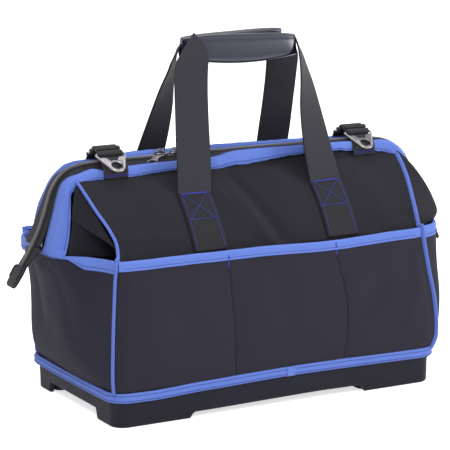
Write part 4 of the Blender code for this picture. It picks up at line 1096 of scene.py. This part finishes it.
def make_casings():
    """Casing of each half, its feet kept outside the end pockets, with two rows of stitches."""
    for face, side in FACES:
        dense = casing_stations(side)
        rings = np.array([casing_ring(*station) for station in dense])
        rings[..., 1] *= side
        low = rings[..., 2] < 0.2150
        blend = ease((0.2150 - rings[..., 2]) / 0.006)
        for end, sx in ENDS:
            away = np.abs(rings[..., 0])
            y = np.clip(rings[..., 1], -OUTLINE_Y, OUTLINE_Y)
            pushed = np.maximum(away, end_distance(end, y, np.full_like(y, 0.2080)) + 0.0030)
            here = low & (rings[..., 0] * sx > 0.2555)
            rings[..., 0] = np.where(here, sx * (away * (1 - blend) + pushed * blend), rings[..., 0])
        casing = solid("frame_casing_" + face, rings, BLUE_TAPE, "mouth_" + face, sharp=75.0)
        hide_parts("casing_" + face)
        edge = dense * np.array([1.0, side, 1.0])
        out = unit(edge[:, 1] - edge[:, 3])
        near = edge[:, 2] * 0.82 + edge[:, 1] * 0.18 + out * 0.0016
        zipside = edge[:, 0] * 0.84 + edge[:, 1] * 0.16 + out * 0.0013
        runs = [(row[4:-4], out[4:-4]) for row in (near, zipside)]
        rows = stitches("casing_stitches_" + face, runs, SEAM_THREAD, "mouth_" + face, 0.0031, 0.0019, 0.0005,
                        0.0004)


make_casings()


# Steel frames inside the casings
FRAME_LINE = np.array([(0.2583, 0.1930), (0.2583, 0.2000), (0.2575, 0.2150), (0.2540, 0.2350),
                       (0.2485, 0.2560), (0.2428, 0.2720), (0.2350, 0.2850), (0.2240, 0.2940),
                       (0.2080, 0.2972), (0.1800, 0.2980), (0.0, 0.2990)])


def make_frames():
    """Flat-sided bar carried from one hinge over the mouth to the other, with a round eye at each foot."""
    ring = oval(0.0060, 0.0060, 32)
    for face, side in FACES:
        path = over_mouth(FRAME_LINE, side * FRAME_Y, 240)
        points = carried(path, *frames_along(path, (0.0, 1.0, 0.0)), oval(0.0026, 0.0029, 16, 0.45))
        bar = solid("frame_bar_" + face, points, STEEL, "mouth_" + face)
        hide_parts("frame_" + face)
        for end, sx in ENDS:
            rings = [xyz(sx * x, side * FRAME_Y + ring[:, 0] * s, 0.1960 + ring[:, 1] * s)
                     for x, s in ((0.2556, 0.94), (0.2560, 1.0), (0.2606, 1.0), (0.2610, 0.94))]
            eye = solid("frame_eye_%s_%s" % (face, end), np.array(rings), DARK_STEEL, "mouth_" + face)


make_frames()


# Gussets between panel edge and frame leg: rows run from the mouth down, columns from the panel to the leg
FOLDED_IN = np.array([
    [(0.2285, 0.0300, 0.2905), (0.2305, 0.0305, 0.2895), (0.2330, 0.0310, 0.2880)],
    [(0.2225, 0.0640, 0.2600), (0.2325, 0.0500, 0.2640), (0.2400, 0.0385, 0.2670)],
    [(0.2115, 0.0960, 0.2235), (0.2285, 0.0705, 0.2380), (0.2440, 0.0440, 0.2520)],
    [(0.2105, 0.0960, 0.2205), (0.2130, 0.0700, 0.2330), (0.2435, 0.0445, 0.2480)],
    [(0.2105, 0.1000, 0.2120), (0.1600, 0.0780, 0.2150), (0.2490, 0.0470, 0.2250)],
    [(0.2120, 0.1050, 0.2040), (0.1600, 0.0800, 0.2030), (0.2530, 0.0490, 0.2050)],
])
PUFFED_OUT = np.array([
    [(0.2270, 0.0300, 0.2960), (0.2290, 0.0305, 0.2950), (0.2320, 0.0310, 0.2920)],
    [(0.2230, 0.0560, 0.2690), (0.2420, 0.0500, 0.2740), (0.2420, 0.0385, 0.2700)],
    [(0.2190, 0.0760, 0.2480), (0.2560, 0.0660, 0.2480), (0.2490, 0.0420, 0.2500)],
    [(0.2155, 0.0930, 0.2270), (0.2640, 0.0730, 0.2230), (0.2530, 0.0450, 0.2300)],
    [(0.2140, 0.0990, 0.2150), (0.2590, 0.0770, 0.2110), (0.2540, 0.0460, 0.2160)],
    [(0.2130, 0.1040, 0.2040), (0.2470, 0.0780, 0.2035), (0.2500, 0.0470, 0.2040)],
])


def make_gussets():
    """Cubic through three columns and six rows of points; the folded form turns under at its third row."""
    rows = np.concatenate([np.linspace(0.0, 2.0, 26), np.linspace(2.0, 5.0, 34)[1:]])
    columns = np.linspace(0.0, 2.0, 40)
    net = FOLDED_IN
    under = np.array([net[2], net[2] * 0.3 + net[3] * 0.7, net[3] * 0.7 + net[4] * 0.3, net[4], net[5]])
    folded = np.where((rows <= 2.0)[:, None, None], through(rows, [0, 1, 2], net[:3]),
                      through(rows, [2, 2.35, 3, 4, 5], under))
    puffed = through(rows, np.arange(6), PUFFED_OUT)
    for face, side, end, sx in CORNERS:
        dense = puffed if (face, end) == ("front", "right") else folded
        points = np.swapaxes(through(columns, [0, 1, 2], np.swapaxes(dense, 0, 1)), 0, 1)
        bulge = np.sin(np.pi * columns / 2.0) * 0.0012 * ripple(points[..., 1], points[..., 2], 61, 0.05)
        points = (points + bulge[..., None]) * np.array([sx, side, 1.0])
        gusset = cloth("gusset_fold_%s_%s" % (face, end), points, GUSSET_CLOTH, None, (sx, side, 0.3), 0.0011,
                       0.0, 70.0)
        bend_with_mouth(gusset)
        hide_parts("gusset_%s_%s" % (face, end))


make_gussets()


# Zip: tape, teeth, ends over the bag's ends and free tails
CREST = np.array([(0.2962, 0.1860), (0.2932, 0.1919), (0.2864, 0.2030), (0.2786, 0.2165), (0.2716, 0.2296),
                  (0.2669, 0.2405), (0.2628, 0.2520), (0.2588, 0.2640), (0.2546, 0.2763), (0.2495, 0.2866),
                  (0.2428, 0.2956), (0.2342, 0.3028), (0.2241, 0.3070), (0.2114, 0.3094), (0.1950, 0.3108),
                  (0.1725, 0.3114), (0.1400, 0.3114), (0.0700, 0.3116), (0.0, 0.3120)])
# The mouth's part of the zip ends at this distance from the middle, and its free tails start at this height
HALF_X = 0.2114
TAIL_Z = 0.2147


def zip_part(points):
    """Which part carries each point of the zip: a free tail, a bag end or the mouth."""
    return np.where(np.abs(points[:, 0]) < HALF_X, "mouth", np.where(points[:, 2] > TAIL_Z, "end", "tail"))


def tape_strip(name, line, rise, y0, y1, body, node_name, dip, second=None):
    """Woven tape between two distances across the zip, each side falling away by its own dip."""
    wide = np.broadcast_to(np.linspace(y0, y1, 17, axis=-1), (len(line), 17))
    share = np.abs(wide) / np.abs(wide).max(axis=1, keepdims=True)
    fall = np.where(wide < 0, dip[:, None], (dip if second is None else second)[:, None])
    points = line[:, None] + rise[:, None] * (-0.0014 - fall * share ** 1.2)[..., None]
    points[..., 1] = wide
    middle = line[:, 0].mean()
    facing = (0, 0, 1) if abs(middle) < 0.1 else (math.copysign(1, middle), 0, 0.3)
    tape = cloth(name, points, ZIP_TAPE, body, facing, 0.0009)
    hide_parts(node_name)


def teeth(name, place, ahead, rise, sign, body):
    """Moulded teeth: at each place a six-sided block lies across the tape, fuller at its tip."""
    turn = SIX_TURNS + math.pi / 6.0
    ring = (0.00056 * np.sign(np.cos(turn)) * np.abs(np.cos(turn)) ** 0.6,
            0.00160 * np.sign(np.sin(turn)) * np.abs(np.sin(turn)) ** 0.6)
    steps = sign * np.array([-0.0008, 0.0004, 0.0036, 0.0047])
    axes = ((0.0, 1.0, 0.0), ahead, rise)
    made = beads(name, place, axes, steps, (0.72, 1.0, 0.92, 0.55), ring, TOOTH_PLASTIC, body, 35.0, True)


def make_zip():
    """Tapes and teeth along one line that leads from the left tail over the mouth to the right tail."""
    line = over_mouth(CREST, 0.0, 900)
    ahead = tangents(line)
    rise = xyz(-ahead[:, 2], 0.0, ahead[:, 0])
    part = zip_part(line)
    run = distances(line)
    away = np.minimum(run, run[-1] - run)
    dip = 0.0038 * ease((away - 0.030) / 0.03) * ease((0.150 - away) / 0.04)
    for face, side in FACES:
        spine = line[part == "mouth"][::6]
        top = through(spine[:, 0], *MOUTH_TOP) if side < 0 else 0.3096
        fall = np.clip(spine[:, 2] - 0.0020 - top, 0.0006, 0.0090)
        margin = 0.0190 - 0.0040 * ease((spine[:, 0] * side - 0.185) / 0.026)
        tape_strip("zip_tape_" + face, spine, rise[part == "mouth"][::6], side * 0.0004, side * margin,
                   "mouth_" + face, "zip_half_" + face, fall)
    for end, sx in ENDS:
        here = (line[:, 0] * sx > 0) & (part == "end")
        spine = line[here][::3]
        lowered = ease((0.3085 - spine[:, 2]) / 0.016)
        steep = 0.0054 - 0.0012 * lowered
        flat = 0.0020 * (1.0 - lowered) + 0.0014
        broad = 0.0190 + 0.0085 * ease((0.2900 - spine[:, 2]) / 0.055)
        low, high, dips = (-0.0150, broad, (steep, flat)) if sx < 0 else (-broad, 0.0150, (flat, steep))
        tape_strip("zip_end_tape_" + end, spine, rise[here][::3], low, high, "shell", "zip_end_" + end, *dips)
        here = (line[:, 0] * sx > 0) & (part == "tail")
        spine = line[here][::2]
        wide = ease((spine[:, 2] - 0.1880) / 0.0240)
        flap = 0.0130 + 0.0085 * wide
        rear = 0.0130 - 0.0010 * wide
        low, high = (-flap, rear) if sx < 0 else (-rear, flap)
        tail = "zip_tail_" + end
        fall = dip[here][::2] + 0.0012 * wide
        tape_strip("zip_tail_tape_" + end, spine, rise[here][::2], low, high, tail, tail, fall)
    count = int(run[-1] / TOOTH_PITCH)
    for face, side in FACES:
        at = (np.arange(count) + (0.5 if side < 0 else 1.0)) * TOOTH_PITCH
        at = at[at < run[-1] - 0.001]
        rows = (sampled(at, run, line), unit(sampled(at, run, ahead)), unit(sampled(at, run, rise)))
        kind = zip_part(rows[0])
        chosen = [("teeth_" + face, kind == "mouth", "mouth_" + face)]
        for end, sx in ENDS:
            here = rows[0][:, 0] * sx > 0
            chosen.append(("teeth_%s_end_%s" % (face, end), here & (kind == "end"), "shell"))
            chosen.append(("teeth_%s_tail_%s" % (face, end), here & (kind == "tail"), "zip_tail_" + end))
        for name, where, body in chosen:
            teeth(name, *[values[where] for values in rows], side, body)


make_zip()


# Distance along the cap, half width and half depth of its sections, and the outline of its raised frame
CAP_SECTIONS = [(0.0, 0.0120, 0.0020), (0.0006, 0.0130, 0.0028), (0.0020, 0.0136, 0.0031),
                (0.0080, 0.0137, 0.0033), (0.0190, 0.0135, 0.0031), (0.0252, 0.0128, 0.0027),
                (0.0278, 0.0105, 0.0019), (0.0284, 0.0080, 0.0010)]
CAP_FRAME = np.array([(-0.0112, 0.0165), (-0.0112, 0.0030), (-0.0095, 0.0012), (0.0095, 0.0012),
                      (0.0112, 0.0030), (0.0112, 0.0165)])


def make_caps():
    """Rubber cap: a squared oval carried along the tail, with a raised frame round the tape's mouth."""
    side = np.array([0.0, 1.0, 0.0])
    for end, sx in ENDS:
        mouth = np.array([sx * 0.2945, 0.0, 0.1885])
        way = unit(np.array([sx * 0.0225, 0.0, -0.0355]))
        rise = sx * np.cross(way, side)
        rings = [mouth + way * step + in_plane(oval(wide, deep, 28, 0.45), side, rise)
                 for step, wide, deep in CAP_SECTIONS]
        cap = solid("tail_cap_" + end, np.array(rings), CAP_RUBBER, "zip_tail_" + end, sharp=50.0)
        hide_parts("zip_cap_" + end)
        path = through_points(mouth + in_plane(CAP_FRAME, side, way) + rise * 0.0032, 40)
        up = np.broadcast_to(rise, path.shape)
        bead = carried(path, unit(np.cross(tangents(path), up)), up, oval(0.0011, 0.0009, 8))
        solid("cap_frame_" + end, bead, CAP_RUBBER, "zip_tail_" + end)


make_caps()


# Handles
def handle_frame(side):
    foot = np.array([0.0, side * 0.0604, 0.2696])
    up = np.array([0.0, -side * 0.2296, 0.9733])
    out = np.array([0.0, side * 0.9733, 0.2296])
    return foot, up, out


# Height along the handle, then place and depth of the outer and inner edge of each strap leg
FLAT_LEG = np.array([
    (-0.001, -0.1093, 0.0004, -0.0633, 0.0004), (0.035, -0.1052, 0.0006, -0.0590, 0.0006),
    (0.056, -0.1042, 0.0010, -0.0575, 0.0008), (0.095, -0.1012, 0.0024, -0.0554, 0.0018),
    (0.132, -0.0992, 0.0052, -0.0535, 0.0050), (0.158, -0.0970, 0.0076, -0.0512, 0.0084),
    (0.166, -0.0935, 0.0080, -0.0496, 0.0090), (0.176, -0.0858, 0.0082, -0.0497, 0.0092),
    (0.188, -0.0760, 0.0082, -0.0570, 0.0090), (0.1965, -0.0690, 0.0074, -0.0625, 0.0080),
    (0.1995, -0.0664, 0.0060, -0.0640, 0.0064)])
TWISTED_LEG = np.array([
    (-0.001, 0.1255, -0.0010, 0.0790, 0.0014), (0.035, 0.1202, -0.0042, 0.0747, 0.0042),
    (0.070, 0.1155, -0.0071, 0.0725, 0.0071), (0.0985, 0.1121, -0.0106, 0.0722, 0.0106),
    (0.130, 0.1081, -0.0150, 0.0746, 0.0150), (0.151, 0.1033, -0.0172, 0.0758, 0.0165),
    (0.168, 0.0985, -0.0172, 0.0772, 0.0140), (0.181, 0.0915, -0.0140, 0.0790, 0.0080),
    (0.191, 0.0850, -0.0080, 0.0790, 0.0010)])
# Depth and share of the height round a grip's section
GRIP_SECTION = mirrored([(0.0, -0.025), (0.0032, -0.010), (0.0058, 0.045), (0.0066, 0.16), (0.0069, 0.36),
                         (0.0068, 0.56), (0.0061, 0.72), (0.0050, 0.795), (0.0050, 0.835), (0.0057, 0.875),
                         (0.0058, 0.93), (0.0042, 0.980), (0.0, 1.0)])


def lean(side, height):
    """Sideways lean of the back handle: it grows with height up to the grip."""
    return 0.0155 * np.clip(height / 0.155, 0.0, 1.0) if side > 0 else 0.0 * height


def strap_leg(name, table, side, material, body):
    """Webbing leg: a sheet ruled between its two edge curves."""
    foot, up, out = handle_frame(side)
    heights = np.concatenate([np.linspace(table[0, 0], 0.155, 40), np.linspace(0.155, table[-1, 0], 22)[1:]])
    edges = through(heights, table[:, 0], table[:, 1:])[:, :, None]
    u = np.linspace(0.0, 1.0, 13)
    x = -side * (edges[:, 0] * (1.0 - u) + edges[:, 2] * u) + lean(side, heights)[:, None]
    depth = edges[:, 1] * (1.0 - u) + edges[:, 3] * u
    if side > 0:
        heights = heights - 0.0085 * ease((heights - 0.160) / 0.034)
    points = foot + xyz(x, 0.0, 0.0) + up * heights[:, None, None] + out * depth[..., None]
    leg = cloth(name, points, material, body, (0, side, 0.2), STRAP_SHEET, 0.0)
    step = leg.modifiers.new("soft_edge", "BEVEL")
    step.width = 0.0007
    step.segments = 2
    step.limit_method = "ANGLE"
    step.angle_limit = math.radians(50.0)
    return leg


def make_handles():
    """Two strap legs and a grip: a padded section with a ridge along its top carried along a gentle bow,
    drawn in at both ends."""
    spread = np.linspace(-1.0, 1.0, 61)
    spread = np.sign(spread) * (1.0 - (1.0 - np.abs(spread)) ** 1.5)
    top = through(spread, [-1.0, -0.6, 0.0, 0.6, 1.0], [0.1975, 0.1980, 0.1968, 0.1952, 0.1928])
    low = through(spread, [-1.0, -0.7, -0.3, 0.0, 0.4, 0.8, 1.0],
                  [0.1665, 0.1630, 0.1605, 0.1600, 0.1612, 0.1640, 0.1660])
    pinch = 1.0 - 0.42 * np.abs(spread) ** 14
    full = 1.0 + 0.10 * np.cos(np.pi * spread / 2.0)
    x = HANDLE_SHIFT + 0.0008 + 0.0715 * spread[:, None]
    top, low, pinch, full = (row[:, None] for row in (top, low, pinch, full))
    middle = (top + low) / 2.0
    height = middle + (low + (top - low) * GRIP_SECTION[:, 1] - middle) * (0.90 + 0.10 * pinch)
    depth = GRIP_SECTION[:, 0] * pinch * full
    for face, side in FACES:
        # The back handle's legs take the darker copy of the webbing: painted shade.
        webbing = WEBBING if side < 0 else WEBBING_PAINTED_SHADE
        for letter, table in (("a", FLAT_LEG), ("b", TWISTED_LEG)):
            leg = strap_leg("strap_leg_%s_%s" % (face, letter), table, side, webbing, "handle_" + face)
            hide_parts("handle_" + face)
        foot, up, out = handle_frame(side)
        place = foot + xyz(-side * x + lean(side, middle), 0.0, 0.0)
        rings = place + up * height[..., None] + out * depth[..., None]
        grip = solid("padded_grip_" + face, rings, GRIP_COVER, "handle_" + face, sharp=80.0)
        step = grip.modifiers.new("soft_form", "SUBSURF")
        step.levels = 1
        step.render_levels = 1
        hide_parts("grip_" + face)


make_handles()


# Ring tabs and rings
TAB_RIB = 0.0028
TAB_ROLLS = [(0.0120, 0.3217, 0.0048, TAB_HALF), (0.0052, 0.3266, 0.0040, 0.0160)]
RING_SLOPE = math.radians(31.0)
RING_ARM = 0.0195
RING_FOOT = 0.0036
RING_EYE = 0.0240
RING_NOSE = 0.0098
EYE_RADIUS = 0.0066


def flat_loop(name, corners, origin, axes, body, radius=0.0009, count=64, rounds=3, sides=8, sharp=70.0):
    """Round bar along a closed flat outline, its corners softened by averaging neighbours."""
    closed = np.concatenate([corners, corners[:1]])
    run = distances(closed)
    flat = sampled(np.linspace(0.0, run[-1], count + 1)[:-1], run, closed)
    for _ in range(rounds):
        flat = (np.roll(flat, 1, axis=0) + 2 * flat + np.roll(flat, -1, axis=0)) / 4.0
    path = origin + in_plane(flat, axes[0], axes[1])
    ahead = unit(np.roll(path, -1, axis=0) - np.roll(path, 1, axis=0))
    bar = carried(path, np.cross(ahead, axes[2]), np.broadcast_to(axes[2], path.shape),
                  oval(radius, radius, sides))
    return solid(name, bar, STEEL, body, joined=True, sharp=sharp)


def make_tabs():
    """Tab: webbing sewn on the casing, led over it to a ribbed roll round the ring and one behind."""
    path = through_points([(0.0304, 0.2935), (0.0303, 0.2990), (0.0298, 0.3045), (0.0284, 0.3086),
                           (0.0255, 0.3116), (0.0215, 0.3148), (0.0180, 0.3182), (0.0150, 0.3184)], 40)
    u = np.linspace(-1.0, 1.0, 45)
    ribs = 0.00025 * np.abs(np.sin(u * TAB_HALF / TAB_RIB * math.pi))
    ring = oval(1.0, 0.92, 20)
    t = np.linspace(-0.0150, 0.0150, 12)
    for face, side, end, sx in CORNERS:
        tag = "%s_%s" % (face, end)
        body = "mouth_" + face
        centre = sx * TAB_X
        points = xyz(centre + TAB_HALF * u, side * (path[:, :1] + ribs), path[:, 1:] + ribs * 0.5)
        strip = cloth("ring_webbing_" + tag, points, TAB_WEBBING, body, (0, side, 0.3), 0.0016)
        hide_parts("ring_tab_" + tag)
        for number, (ry, rz, radius, half) in enumerate(TAB_ROLLS):
            along = np.linspace(-half, half, 67)[:, None]
            size = radius * (0.90 + 0.12 * np.abs(np.sin(along / TAB_RIB * math.pi)))
            size *= np.sqrt(np.clip(1.0 - (np.abs(along) / (half + 0.0004)) ** 26, 0.0, 1.0))
            points = xyz(centre + along, side * (ry + size * ring[:, 0]), rz + size * ring[:, 1])
            roll = solid("ring_roll_%s_%d" % (tag, number), points, TAB_WEBBING, body, sharp=60.0)
        runs = [(xyz(centre + t, side * 0.0308, height), (0.0, side, 0.0)) for height in (0.2965, 0.2985)]
        rows = stitches("tab_stitches_" + tag, runs, BLUE_THREAD, body, 0.0017, 0.0014, 0.0005, 0.0004)
        make_ring(tag, side, centre)


def web_reach(ca, sa):
    """How far a ring's web reaches from the eye: to the nose, the two sloping sides or the bar."""
    nose_x = RING_NOSE * math.cos(math.radians(18.0))
    nose_y = RING_NOSE * math.sin(math.radians(18.0))
    slope = (RING_ARM - nose_x) / (RING_EYE + nose_y - RING_FOOT)
    length = math.hypot(1.0, slope)
    gap = (RING_ARM - slope * (RING_EYE - RING_FOOT)) / length
    towards = [(sign * ca + slope * sa) / length for sign in (-1.0, 1.0)]
    reach = np.full(len(ca), RING_NOSE)
    for toward in towards:
        aside = np.minimum(gap / np.maximum(toward, 0.05), 0.03)
        reach = np.where((toward > 0.05) & (sa < 0.35), np.maximum(reach, aside), reach)
    top = (RING_EYE - 0.0080) / np.maximum(-sa, 1e-3)
    reach = np.minimum(reach, np.where(sa < 0, np.maximum(top, 0.0078), 0.03))
    for toward in towards:
        reach = np.minimum(reach, np.where(toward > 0.05, gap / np.maximum(toward, 0.05), 0.03))
    return reach


def make_ring(tag, side, centre):
    """Triangular ring: a round bar along its outline, and a web plate from there to the round eye."""
    hub = np.array([centre, side * TAB_ROLLS[0][0], TAB_ROLLS[0][1]])
    across = np.array([1.0, 0.0, 0.0])
    fall = np.array([0.0, side * math.cos(RING_SLOPE), -math.sin(RING_SLOPE)])
    lift = np.array([0.0, side * math.sin(RING_SLOPE), math.cos(RING_SLOPE)])
    nose = [(RING_NOSE * math.cos(t), RING_EYE + RING_NOSE * math.sin(t))
            for t in np.radians(np.linspace(18.0, 162.0, 15))]
    bar = [(-RING_ARM + 0.0020, 0.0), (RING_ARM - 0.0020, 0.0), (RING_ARM, 0.0013),
           (RING_ARM - 0.0004, RING_FOOT)]
    back = [(-RING_ARM + 0.0004, RING_FOOT), (-RING_ARM, 0.0013)]
    rim = flat_loop("ring_bar_" + tag, np.array(bar + nose + back), hub, (across, fall, lift), "ring_" + tag,
                    radius=0.0015, count=120, rounds=2, sides=10, sharp=60.0)
    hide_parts("ring_" + tag)
    angles = np.linspace(0.0, 2.0 * math.pi, 72, endpoint=False)
    ca = np.cos(angles)
    sa = np.sin(angles)
    reach = np.maximum(web_reach(ca, sa), 0.0072)
    rings = []
    for share, height in ((0.0, -0.0009), (0.0, 0.0009), (0.10, 0.0014), (0.22, 0.0011), (0.55, 0.0010),
                          (1.0, 0.0010), (1.0, -0.0010), (0.55, -0.0010), (0.22, -0.0011), (0.10, -0.0014)):
        radius = EYE_RADIUS + (reach - EYE_RADIUS) * share
        flat = np.stack([radius * ca, RING_EYE + radius * sa], axis=1)
        rings.append(hub + in_plane(flat, across, fall) + lift * height)
    plate = solid("ring_web_" + tag, np.array(rings), DARK_STEEL, "ring_" + tag, joined=True, sharp=50.0)


make_tabs()


# Sliders and pulls
PULL_SIZE = 1.3
LOOP = PULL_SIZE * np.array([(-0.0052, 0.0), (0.0052, 0.0), (0.0055, 0.0045), (0.0050, 0.0092),
                             (0.0036, 0.0112), (-0.0036, 0.0112), (-0.0050, 0.0092), (-0.0055, 0.0045)])
EYELET = PULL_SIZE * np.array([(-0.0036, 0.0196), (0.0036, 0.0196), (0.0050, 0.0225), (0.0046, 0.0258),
                               (0.0022, 0.0270), (-0.0022, 0.0270), (-0.0046, 0.0258), (-0.0050, 0.0225)])


def make_sliders():
    """Slider: a waisted plate, a bridge bar, and a pull with a loop, a ribbed tongue and an eyelet."""
    plan = oval(1.0, 1.0, 48)
    wide = (0.0052 + 0.0011 * plan[:, 0]) * np.sign(plan[:, 1]) * np.abs(plan[:, 1]) ** 0.8
    levels = ((0.90, 0.0002), (0.98, 0.0006), (1.0, 0.0012), (0.97, 0.0020), (0.86, 0.0025), (0.3, 0.0028))
    arch = mirrored([(-0.0062, 0.0018), (-0.0058, 0.0048), (-0.0040, 0.0068), (0.0, 0.0076)])
    for label, x0, heading, tip in (("left", -0.102, -42.0, -0.34), ("right", -0.082, 180.0, -0.02)):
        base = np.array([x0, 0.0, 0.3126])
        rings = [base + xyz(0.0086 * plan[:, 0] * s, wide * s, h) for s, h in levels]
        plate = solid("slider_body_" + label, np.array(rings), DARK_STEEL, "slider_" + label)
        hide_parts("slider_" + label)
        path = through_points(base + xyz(arch[:, 0], 0.0, arch[:, 1]), 24)
        bridge = carried(path, *frames_along(path, (0.0, 1.0, 0.0)), oval(0.0008, 0.0019, 10, 0.7))
        solid("slider_bridge_" + label, bridge, STEEL, "slider_" + label)
        angle = math.radians(heading)
        way = unit(np.array([-math.cos(angle), math.sin(angle), tip]))
        hinge = unit(np.array([-way[1], way[0], 0.0]))
        up = np.cross(hinge, way)
        up = up if up[2] > 0 else -up
        pin = np.array([x0, 0.0, 0.3171])
        axes = (hinge, way, up)
        flat_loop("pull_loop_" + label, LOOP, pin, axes, "pull_" + label)
        tongue = []
        for v in PULL_SIZE * np.linspace(0.0100, 0.0205, 43):
            rib = 0.0009 + 0.0003 * abs(math.sin(v / 0.0014 * math.pi))
            half = 0.0040 - 0.0005 * math.sin((v / PULL_SIZE - 0.010) / 0.0105 * math.pi)
            tongue.append(pin + way * v + in_plane(oval(half * PULL_SIZE, rib, 16, 0.5), hinge, up))
        thing = solid("pull_tongue_" + label, np.array(tongue), DARK_STEEL, "pull_" + label)
        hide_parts("pull_" + label)
        flat_loop("pull_eyelet_" + label, EYELET, pin, axes, "pull_" + label)


make_sliders()


# Carried-over solids get their finishes
def dress(material, *names):
    for name in names:
        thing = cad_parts[name]
        if not thing.material_slots:
            thing.data.materials.append(material)
        for slot in thing.material_slots:
            slot.material = material


dress(WALL_CLOTH, "front_wall", "back_wall")
dress(BOARD, "floor_board")
dress(DARK_STEEL, "hinge_plate_left", "hinge_plate_right")


# Floor, light and world
def any_view(tree):
    """One for rays from the camera, off a reflection or through something clear, and zero for all others."""
    seen = node(tree, "ShaderNodeLightPath").outputs
    most = calc(tree, "MAXIMUM", seen["Is Camera Ray"], seen["Is Glossy Ray"])
    return calc(tree, "MAXIMUM", most, seen["Is Transmission Ray"])


def make_stage():
    """White floor: lit and shaded near the bag, glowing white to the camera further out."""
    material = bpy.data.materials.new("pale_floor")
    material.use_nodes = True
    tree = material.node_tree
    shader = tree.nodes["Principled BSDF"]
    shader.inputs["Base Color"].default_value = (0.90, 0.90, 0.90, 1.0)
    shader.inputs["Roughness"].default_value = 0.8
    spot = node(tree, "ShaderNodeNewGeometry").outputs["Position"]
    shares = {0: spot, 1: (1.0 / 0.40, 1.0 / 0.28, 0.0)}
    span = node(tree, "ShaderNodeVectorMath", shares, operation="MULTIPLY").outputs[0]
    away = node(tree, "ShaderNodeVectorMath", {0: span}, operation="LENGTH").outputs["Value"]
    ramp = {"Value": away, "From Min": 0.8, "From Max": 1.9}
    far = node(tree, "ShaderNodeMapRange", ramp, interpolation_type="SMOOTHSTEP")
    strength = calc(tree, "MULTIPLY", any_view(tree), calc(tree, "MULTIPLY_ADD", far.outputs[0], 0.32, 0.68))
    glow = node(tree, "ShaderNodeEmission", {"Strength": strength})
    both = node(tree, "ShaderNodeAddShader", {0: shader.outputs[0], 1: glow.outputs[0]})
    tree.links.new(both.outputs[0], tree.nodes["Material Output"].inputs["Surface"])
    mesh = bpy.data.meshes.new("pale_floor")
    corners = [(-6, -6, -0.0002), (6, -6, -0.0002), (6, 6, -0.0002), (-6, 6, -0.0002)]
    mesh.from_pydata(corners, [], [(0, 1, 2, 3)])
    floor = bpy.data.objects.new("pale_floor", mesh)
    floor.data.materials.append(material)
    bpy.context.scene.collection.objects.link(floor)


def make_lights():
    world = bpy.data.worlds.new("studio")
    bpy.context.scene.world = world
    world.use_nodes = True
    tree = world.node_tree
    back = tree.nodes["Background"]
    tree.links.new(calc(tree, "MULTIPLY_ADD", any_view(tree), 0.58, 0.42), back.inputs["Strength"])
    back.inputs["Color"].default_value = (1.0, 1.0, 1.0, 1.0)
    for name, place, size, power in (("key", (-1.5, -2.3, 2.5), 1.1, 52.0),
                                     ("fill", (2.3, -1.7, 1.5), 1.1, 42.0),
                                     ("top", (0.2, 0.3, 2.6), 1.5, 24.0)):
        lamp = bpy.data.lights.new(name, "AREA")
        lamp.shape = "SQUARE"
        lamp.size = size
        lamp.energy = power
        light = bpy.data.objects.new(name, lamp)
        bpy.context.scene.collection.objects.link(light)
        spot = Vector(place)
        aim = (Vector((0.0, 0.0, 0.2)) - spot).to_track_quat("-Z", "Y").to_matrix().to_4x4()
        light.matrix_world = Matrix.Translation(spot) @ aim


make_stage()
make_lights()
bpy.context.scene.view_settings.view_transform = "Standard"
